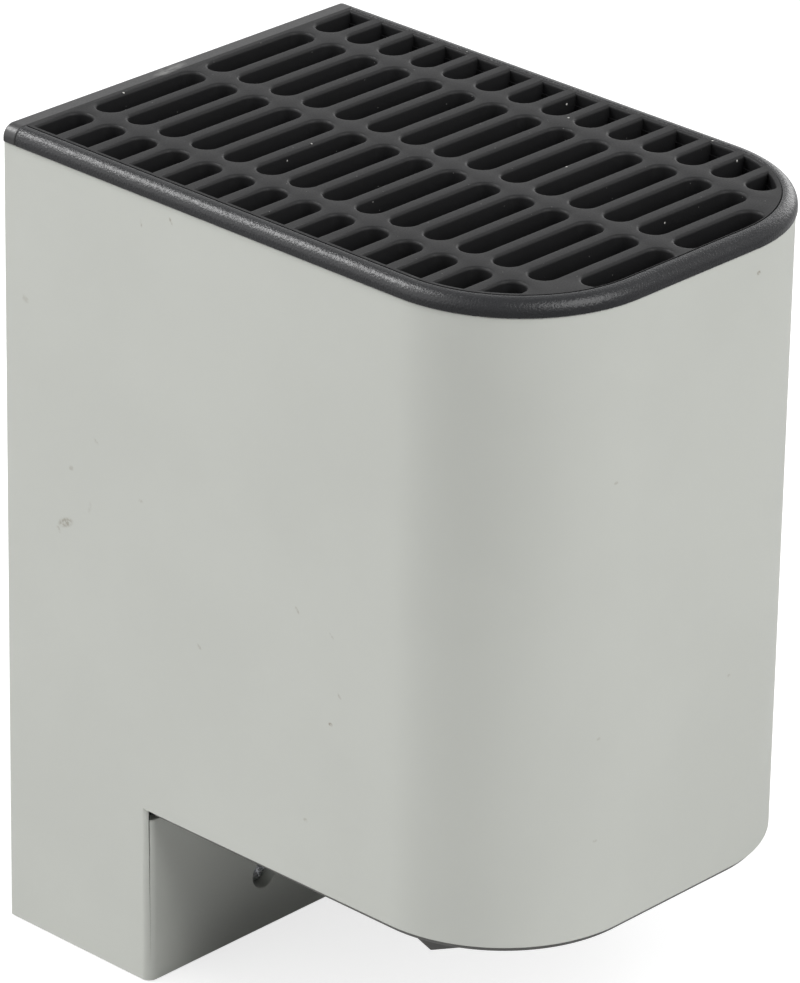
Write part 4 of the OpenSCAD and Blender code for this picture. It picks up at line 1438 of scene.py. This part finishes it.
@dataclass
class IntakeGuard:
    """Dark bottom plate with a finger guard under the fan and two tapered lugs."""

    plan: Plan
    top_z: float = 34.0
    drop: float = 1.0
    inset: float = 0.85
    thickness: float = 2.0
    fit: float = 0.15
    wall: float = 2.0
    rear: float = 35.15
    fan_y: float = -70.5
    bore_r: float = 33.2
    centre_r: float = 7.0
    ring_pitch: float = 6.2
    ring_w: float = 1.6
    bar_w: float = 2.4
    bars: int = 3
    lug_h: float = 4.0
    lug_l: float = 8.0
    lug_t: float = 2.0
    lug_turn: float = -35.0
    lug_x: float = -39.45
    lug_y: float = -94.6

    def build(self) -> bpy.types.Object:
        """Joins the flange, the plate and the lugs.

        Returns:
            The guard in the drawing's millimetres.
        """
        low = self.top_z - self.drop
        bore = circle(self.bore_r, 96, (0.0, self.fan_y))
        flange = self.plan.path(self.inset, self.rear)
        item = to_object(prism([flange, bore], low, self.top_z - 0.02), "intake_plate")
        inner = self.plan.path(self.wall + self.fit, self.rear)
        combine(item, prism([inner, bore], low + 0.2, low + self.thickness), "UNION")
        h, l = self.lug_h, self.lug_l
        for side in (1, -1):
            tab = prism([[(0, 0.3), (h, -h), (h + l, -h), (2 * h + l, 0.3)]], -self.lug_t, 0.0)
            turn = Matrix.Rotation(math.radians(self.lug_turn), 4, "Z")
            upright = Matrix.Rotation(math.pi / 2, 4, "X")
            stand = Matrix.Translation((self.lug_x, self.lug_y, low)) @ turn @ upright
            if side < 0:
                stand = Matrix.Scale(-1, 4, (1, 0, 0)) @ stand
            tab.transform(stand)
            bmesh.ops.recalc_face_normals(tab, faces=tab.faces)
            combine(item, tab, "UNION")
        return item

    def build_rings(self, finish: bpy.types.Material) -> bpy.types.Object:
        """Makes the rings and bars of the finger guard.

        Args:
            finish: Material of the guard.

        Returns:
            The rings in the drawing's millimetres.
        """
        item = points_object("finger_guard", [(0.0, 0.0, 0.0)])
        count = int((self.bore_r - self.ring_w - self.centre_r) / self.ring_pitch)
        finger_guard_tree().run(item, {
            "Rings": count, "Bars": self.bars, "First Radius": self.centre_r + self.ring_pitch,
            "Pitch": self.ring_pitch, "Reach": self.bore_r + 0.5, "Ring Width": self.ring_w,
            "Bar Width": self.bar_w, "Thickness": self.thickness, "Finish": finish})
        middle = Matrix.Translation((0, self.fan_y, self.top_z - self.drop + self.thickness / 2))
        item.data.transform(middle)
        half = self.thickness / 2 + GUARD_STEP
        r, chamfer = self.centre_r, 0.5
        cap = [(0.0, -half), (r - chamfer, -half), (r, chamfer - half), (r, half), (0.0, half)]
        disc = moved(lathe(cap, 64), middle)
        disc.from_mesh(item.data)
        disc.to_mesh(item.data)
        disc.free()
        smooth(item)
        return item

    def dress(self) -> None:
        """Gives the guard its dark grey plastic."""
        finish = MouldedPlastic(
            "guard_plastic", srgb(92, 92, 90), roughness=0.5, grain_mm=0.35, grain_depth=0.012,
            mottle=0.1).material()
        item = self.build()
        soften(item, 0.2, 2)
        settle(item, finish, Body.HOUSING, "guard_plastic", "intake_guard")
        settle(self.build_rings(finish), finish, Body.HOUSING, "guard_plastic", "intake_guard")


@dataclass
class RailClip:
    """Spring steel clip on the back, with its two screws."""

    centre_z: float = 96.0
    width: float = 36.0
    sheet: float = 1.0
    hook_gap: float = 1.2
    hook_z: float = 17.7
    hook_l: float = 4.5
    release_l: float = 6.0
    screw_span: float = 12.0
    screw_l: float = 9.0
    slot_w: float = 2.0
    slot_l: float = 8.0

    def section(self) -> list[Point2]:
        """Gives the clip's side view as (depth behind the cover, height).

        Returns:
            The side view's points.
        """
        t, gap, top = self.sheet, self.hook_gap, self.hook_z
        r = gap / 2
        turns = [math.pi * i / 12 for i in range(13)]
        outer = [(t + r - (r + t) * math.cos(a), top + (r + t) * math.sin(a)) for a in turns]
        inner = [(t + r - r * math.cos(a), top + r * math.sin(a)) for a in turns]
        far = t + gap
        upper = [*outer, (far + t, top - self.hook_l), (far, top - self.hook_l), *inner[::-1]]
        tab = [(far, -top + self.hook_l), (far + t, -top + self.hook_l), (far + t, -top - self.release_l),
               (far, -top - self.release_l)]
        inside = [(x, -y) for x, y in inner]
        outside = [(x, -y) for x, y in reversed(outer) if y > top + 0.01 and x < far]
        return [*upper, *inside, *tab, *outside, (0.0, -top)]

    def build(self) -> bpy.types.Object:
        """Extrudes the clip's side view across its width and cuts the two spring slots.

        Returns:
            The clip in the drawing's millimetres.
        """
        turn = Matrix(((0, 0, 1, 0), (1, 0, 0, 0), (0, 1, 0, self.centre_z), (0, 0, 0, 1)))
        item = to_object(moved(prism([self.section()], -self.width / 2, self.width / 2), turn), "rail_clip")
        for side in (-1, 1):
            x = side * self.width / 4
            low = self.centre_z - self.hook_z + self.hook_gap
            left, right = x - self.slot_w / 2, x + self.slot_w / 2
            slot = box((left, -1.0, low), (right, self.sheet + 0.05, low + self.slot_l))
            combine(item, slot, "DIFFERENCE")
        return item

    def dress(self, steel: bpy.types.Material, bright: bpy.types.Material) -> None:
        """Gives the clip and its screws their steel.

        Args:
            steel: Finish of the clip.
            bright: Finish of the screws.
        """
        item = self.build()
        soften(item, 0.12, 2, 50)
        settle(item, steel, Body.HOUSING, "spring_steel", "din_rail_clip")
        spots = [(0.0, self.sheet, self.centre_z + side * self.screw_span / 2) for side in (-1, 1)]
        set_screws("clip_screw_pair", "clip_screws", spots, math.pi / 2, self.screw_l, bright)


@dataclass
class FootFittings:
    """Screws in the foot's front wall and the cable inlet in its floor."""

    casing: Casing
    inlet_r: float = 3.5
    neck_r: float = 5.0
    lip_r: float = 6.5
    floor_t: float = 2.4
    lip_t: float = 1.2
    fit: float = 0.15
    inlet_y: float = -17.5
    screw_l: float = 10.6

    def dress(self, bright: bpy.types.Material) -> None:
        """Makes the two screws and the rubber inlet.

        Args:
            bright: Finish of the screws.
        """
        part = self.casing
        seat = part.recess_depth - part.foot_d
        spots = [(side * part.screw_span / 2, seat, part.screw_z) for side in (-1, 1)]
        set_screws("foot_screw_pair", "casing_screws", spots, -math.pi / 2, self.screw_l, bright)
        top = self.floor_t + self.fit
        ring = [(self.inlet_r + 0.5, 0.0), (self.neck_r, 0.0), (self.neck_r, top), (self.lip_r, top),
                (self.lip_r, top + self.lip_t), (self.inlet_r, top + self.lip_t), (self.inlet_r, 0.5)]
        place = Matrix.Translation((0, self.inlet_y, 0))
        grommet = to_object(moved(lathe(ring, 64, True), place), "cable_inlet")
        soften(grommet, 0.15, 2)
        rubber = MouldedPlastic(
            "inlet_rubber", srgb(38, 38, 38), roughness=0.7, grain_mm=0.3, grain_depth=0.006)
        settle(grommet, rubber.material(), Body.HOUSING, "inlet_rubber", "cable_grommet")


@dataclass
class Fan:
    """Axial fan over the intake: the frame stands still and the impeller turns."""

    centre_y: float = -70.5
    low_z: float = 35.0
    side: float = 70.0
    depth: float = 25.0
    flange_t: float = 4.0
    corner_r: float = 4.0
    bore_r: float = 33.2
    duct_r: float = 34.8
    hub_r: float = 16.5
    cup_z: float = 2.5
    cup_h: float = 17.5
    cup_wall: float = 1.5
    cup_cap: float = 2.0
    base_z: float = 21.0
    base_t: float = 2.0
    strut_w: float = 3.0
    tip_gap: float = 0.9
    blade_count: int = 7
    blade_t: float = 1.4
    blade_h: float = 16.0
    blade_inset: float = 0.6
    root_x: float = 15.5
    camber_r: float = 24.0
    pitch: float = 38.0

    @property
    def stand(self) -> Matrix:
        """Place of the fan's own frame in the drawing."""
        return Matrix.Translation((0, self.centre_y, self.low_z))

    def build_frame(self) -> bpy.types.Object:
        """Joins the two flanges, the round duct and the motor base on its struts.

        Returns:
            The frame about the fan's own origin.
        """
        half, r = self.side / 2, self.corner_r
        square = [(sx * (half - r) + r * math.cos(a), sy * (half - r) + r * math.sin(a))
                  for sx, sy, start in ((1, 1, 0.0), (-1, 1, 0.5), (-1, -1, 1.0), (1, -1, 1.5))
                  for a in (math.pi * (start + 0.5 * i / 8) for i in range(9))]
        bore = circle(self.bore_r, 96)
        item = to_object(prism([square, bore], 0.0, self.flange_t), "fan_shroud")
        combine(item, prism([square, bore], self.depth - self.flange_t, self.depth), "UNION")
        combine(item, prism([circle(self.duct_r, 96), bore], 1.0, self.depth - 1.0), "UNION")
        combine(item, prism([circle(self.hub_r - 0.5, 64)], self.base_z, self.base_z + self.base_t), "UNION")
        for turn in (45, 135, 225, 315):
            strut = box((self.hub_r - 2, -self.strut_w / 2, self.base_z),
                        (self.bore_r + 0.6, self.strut_w / 2, self.base_z + self.base_t))
            combine(item, moved(strut, Matrix.Rotation(math.radians(turn), 4, "Z")), "UNION")
        return item

    def blade(self) -> bpy.types.Object:
        """Makes one cambered blade from the hub out to the running circle.

        Returns:
            The blade as a helper object.
        """
        lean = math.radians(self.pitch)
        middle = self.cup_z + self.blade_inset + self.blade_h / 2
        half = self.blade_h / 2

        def section(alpha: float, lift: float) -> Point2:
            """Gives a point of the blade's section by its angle and its lift off the middle line."""
            r = self.camber_r + lift
            y, z = r * math.sin(alpha), r * math.cos(alpha) - self.camber_r
            return (y * math.cos(lean) - z * math.sin(lean), y * math.sin(lean) + z * math.cos(lean))

        sweep = [math.radians(a / 4) for a in range(-240, 241)]
        inside = [a for a in sweep if abs(section(a, 0.0)[1]) < half - 0.45]
        cuts, steps = 14, 6
        arc = [inside[0] + (inside[-1] - inside[0]) * i / cuts for i in range(cuts + 1)]
        mesh = bmesh.new()
        sheets = []
        for sign in (1, -1):
            rows = []
            for k, alpha in enumerate(arc):
                thick = self.blade_t / 2 * math.sqrt(max(0.05, 1 - (2 * k / cuts - 1) ** 4))
                y, z = section(alpha, sign * thick)
                root = math.sqrt(max(self.root_x ** 2, (self.hub_r - 0.3) ** 2 - y * y))
                tip = math.sqrt((self.bore_r - self.tip_gap) ** 2 - y * y)
                across = [root + (tip - root) * i / steps for i in range(steps + 1)]
                rows.append([mesh.verts.new((x, y, middle + z)) for x in across])
            sheets.append(rows)
        for rows in sheets:
            for a, b in zip(rows, rows[1:]):
                for i in range(steps):
                    mesh.faces.new((a[i], a[i + 1], b[i + 1], b[i]))
        upper, lower = sheets
        for k in range(len(arc) - 1):
            for i in (0, -1):
                mesh.faces.new((upper[k][i], upper[k + 1][i], lower[k + 1][i], lower[k][i]))
        for k in (0, -1):
            for i in range(steps):
                mesh.faces.new((upper[k][i], upper[k][i + 1], lower[k][i + 1], lower[k][i]))
        bmesh.ops.recalc_face_normals(mesh, faces=mesh.faces)
        return to_object(mesh, "blade")

    def build_impeller(self, finish: bpy.types.Material) -> bpy.types.Object:
        """Sets the blades round the hub's cup.

        Args:
            finish: Material of the impeller.

        Returns:
            The impeller in the drawing's millimetres.
        """
        blade = self.blade()
        item = points_object("impeller", [(0.0, 0.0, 0.0)] * self.blade_count)
        spin = 2 * math.pi / self.blade_count
        repeat_tree().run(item, {"Form": blade, "Turn": (0.0, 0.0, 0.0), "Spin": spin, "Finish": finish})
        remove(blade)
        low, high, r, t = self.cup_z, self.cup_z + self.cup_h, self.hub_r, self.cup_wall
        nose = [(0.0, low), (r - 1.2, low), (r - 0.35, low + 0.35), (r, low + 1.2)]
        rim = [(r, high), (r - t, high), (r - t, low + self.cup_cap), (0.0, low + self.cup_cap)]
        cup = lathe([*nose, *rim], 72)
        cup.from_mesh(item.data)
        cup.transform(self.stand)
        cup.to_mesh(item.data)
        cup.free()
        smooth(item, 35)
        return item

    def dress(self) -> None:
        """Gives the frame and the impeller their black plastics."""
        black = MouldedPlastic(
            "fan_plastic", srgb(34, 34, 35), roughness=0.45, grain_mm=0.5, grain_depth=0.006).material()
        shroud = self.build_frame()
        soften(shroud, 0.2, 2)
        shroud.data.transform(self.stand)
        settle(shroud, black, Body.HOUSING, "fan_plastic", "fan_frame")
        settle(self.build_impeller(black), black, Body.ROTOR, "fan_plastic", "fan_impeller")


@dataclass
class InnerWorks:
    """Finishes of the pieces inside, whose CAD forms are shown as they are."""

    finishes: dict[str, Any] = field(default_factory=lambda: {
        "steel_laminations": SheetMetal("steel_laminations", srgb(150, 152, 155), 0.4),
        "copper_wire": SheetMetal("copper_wire", srgb(196, 118, 72), 0.3, 0.3),
        "brass": SheetMetal("brass", srgb(206, 176, 108), 0.28),
        "aluminium_sheet": SheetMetal("aluminium_sheet", srgb(214, 216, 218), 0.34, 0.5, (1.0, 1.0, 0.1)),
        "plated_sheet": SheetMetal("plated_sheet", srgb(176, 180, 184), 0.38),
        "screw_steel": SheetMetal("inner_screw_steel", srgb(190, 192, 194), 0.3),
        "board": MouldedPlastic("board_lacquer", srgb(28, 84, 52), 0.35, 0.8, 0.004),
        "magnet": MouldedPlastic("magnet_ferrite", srgb(52, 50, 50), 0.65, 0.25, 0.01),
        "heat_plastic": MouldedPlastic("heat_proof_plastic", srgb(44, 43, 42), 0.55, 0.4, 0.01),
        "block": MouldedPlastic("block_plastic", srgb(226, 222, 206), 0.45, 0.5, 0.005, 0.03),
        "brown": MouldedPlastic("brown_sleeve", srgb(104, 62, 36), 0.5, 0.6, 0.005),
        "blue": MouldedPlastic("blue_sleeve", srgb(42, 84, 150), 0.5, 0.6, 0.005),
        "grey": MouldedPlastic("grey_sleeve", srgb(98, 98, 98), 0.5, 0.6, 0.005),
    })
    nodes: dict[str, str] = field(default_factory=lambda: {
        "fan_stator": "steel_laminations", "stator_coils": "copper_wire", "fan_board": "board",
        "fan_bearings": "brass", "fan_shaft": "screw_steel", "fan_magnet": "magnet",
        "fan_screws": "screw_steel",
        "heater_tray": "plated_sheet", "tray_screws": "screw_steel", "heater_frame": "heat_plastic",
        "ptc_bars": "aluminium_sheet", "fin_packs": "aluminium_sheet", "electrode_tabs": "brass",
        "thermal_limiter": "plated_sheet", "terminal_block": "block", "terminal_clamps": "brass",
        "terminal_screws": "screw_steel", "lead_live": "brown", "lead_neutral": "blue", "lead_link": "brown",
        "fan_lead": "grey",
    })

    def dress(self) -> None:
        """Gives each inner CAD node its finish."""
        made = {key: finish.material() for key, finish in self.finishes.items()}
        for node, key in self.nodes.items():
            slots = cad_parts[node].material_slots
            for slot in slots:
                slot.material = made[key]
            LOG.info("%s: CAD form in %s", node, made[key].name)


@dataclass
class Studio:
    """Pale floor, soft light and the camera at the photograph's angle."""

    camera_at: Point3 = (-0.75574, -0.76350, 0.48158)
    camera_turn: Point3 = (1.12896501, -0.01617617, -0.80999845)
    lens: float = 244.863
    floor_z: float = -0.0962
    floor_bounce: float = 0.7
    floor_shown: float = 0.5
    floor_lift: float = 0.75
    ambient_level: float = 0.03
    lamps: tuple[tuple[str, Point3, float, float, float], ...] = (
        ("left_softbox", (-0.71, 0.55, 0.42), 5.0, 6.6, 0.68),
        ("front_softbox", (0.1, -0.8, 0.68), 5.0, 4.0, 0.86),
        ("rim_softbox", (-0.32, 0.64, 0.70), 1.5, 0.6, 0.60),
        ("right_softbox", (0.93, 0.3, 0.2), 5.0, 2.4, 0.17),
    )

    def camera(self) -> None:
        """Makes the camera."""
        data = bpy.data.cameras.new("camera")
        data.lens = self.lens
        data.sensor_width = 36.0
        data.clip_start, data.clip_end = 0.05, 20.0
        item = bpy.data.objects.new("camera", data)
        item.location = self.camera_at
        item.rotation_euler = self.camera_turn
        bpy.context.scene.collection.objects.link(item)
        bpy.context.scene.camera = item

    def world(self) -> None:
        """Makes the background, white to the camera and in mirrors, and dim as a light."""
        world = bpy.data.worlds.new("studio")
        bpy.context.scene.world = world
        world.use_nodes = True
        nodes, links = world.node_tree.nodes, world.node_tree.links
        path = nodes.new("ShaderNodeLightPath")

        def step(operation: str, first: Any, second: Any) -> bpy.types.NodeSocket:
            """Adds a math node and gives its result."""
            node = nodes.new("ShaderNodeMath")
            node.operation = operation
            for socket, value in zip(node.inputs, (first, second)):
                if isinstance(value, bpy.types.NodeSocket):
                    links.new(value, socket)
                else:
                    socket.default_value = value
            return node.outputs[0]

        mirrored = step("MAXIMUM", path.outputs["Is Glossy Ray"], path.outputs["Is Transmission Ray"])
        around = step("MAXIMUM", mirrored, self.ambient_level)
        back = nodes["Background"]
        back.inputs["Color"].default_value = (1.0, 1.0, 1.0, 1.0)
        links.new(step("MAXIMUM", path.outputs["Is Camera Ray"], around), back.inputs["Strength"])

    def floor(self) -> None:
        """Lays a plain pale floor that keeps the object's shadow and is clear to a camera below it."""
        mesh = bmesh.new()
        bmesh.ops.create_grid(mesh, x_segments=1, y_segments=1, size=4.0)
        item = to_object(moved(mesh, Matrix.Translation((0, 0, self.floor_z))), "floor")
        shader = Shader("floor_paper")
        path = shader.add("ShaderNodeLightPath")
        seen = path.outputs["Is Camera Ray"]
        bounce, shown = ((level, level, level, 1.0) for level in (self.floor_bounce, self.floor_shown))
        shader.set("Base Color", shader.mix(seen, bounce, shown))
        shader.set("Roughness", 0.9)
        shader.set("Specular IOR Level", 0.1)
        shader.set("Emission Color", (1.0, 1.0, 1.0, 1.0))
        shader.set("Emission Strength", shader.math("MULTIPLY", seen, self.floor_lift))
        behind = shader.add("ShaderNodeNewGeometry").outputs["Backfacing"]
        shader.set("Alpha", shader.math("SUBTRACT", 1.0, shader.math("MULTIPLY", behind, seen)))
        item.data.materials.append(shader.material)

    def lamp(self, name: str, place: Point3, target: Point3, size: float, power: float) -> None:
        """Hangs one soft square lamp.

        Args:
            name: Name of the lamp.
            place: Where it hangs, in the row frame.
            target: Where it points.
            size: Side of its panel.
            power: Power in watts.
        """
        data = bpy.data.lights.new(name, "AREA")
        data.shape = "SQUARE"
        data.size = size
        data.energy = power
        item = bpy.data.objects.new(name, data)
        item.location = place
        item.rotation_euler = (Vector(target) - Vector(place)).to_track_quat("-Z", "Y").to_euler()
        bpy.context.scene.collection.objects.link(item)

    def build(self) -> None:
        """Sets up the whole studio."""
        self.camera()
        self.world()
        self.floor()
        middle = (0.0, -0.06, 0.0)
        for name, way, distance, size, level in self.lamps:
            reach = Vector(way).normalized() * distance
            self.lamp(name, tuple(reach + Vector(middle)), middle, size, level * (math.pi * distance) ** 2)
        bpy.context.scene.view_settings.view_transform = "Standard"


def main() -> None:
    """Builds every sub-assembly in order."""
    logging.basicConfig(level=logging.INFO, format="%(name)s: %(message)s")
    plan = Plan()
    casing = Casing(plan)
    grille = OutletGrille(plan)
    steel = SheetMetal("clip_steel", srgb(176, 178, 180), 0.33, 0.5, (0.06, 1.0, 1.0)).material()
    bright = SheetMetal("screw_plating", srgb(196, 198, 200), 0.28, 0.3).material()
    casing.dress()
    grille.dress()
    RearCover(plan, grille).dress()
    IntakeGuard(plan).dress()
    RailClip().dress(steel, bright)
    FootFittings(casing).dress(bright)
    Fan().dress()
    InnerWorks().dress()
    Studio().build()


if __name__ == "__main__":
    main()
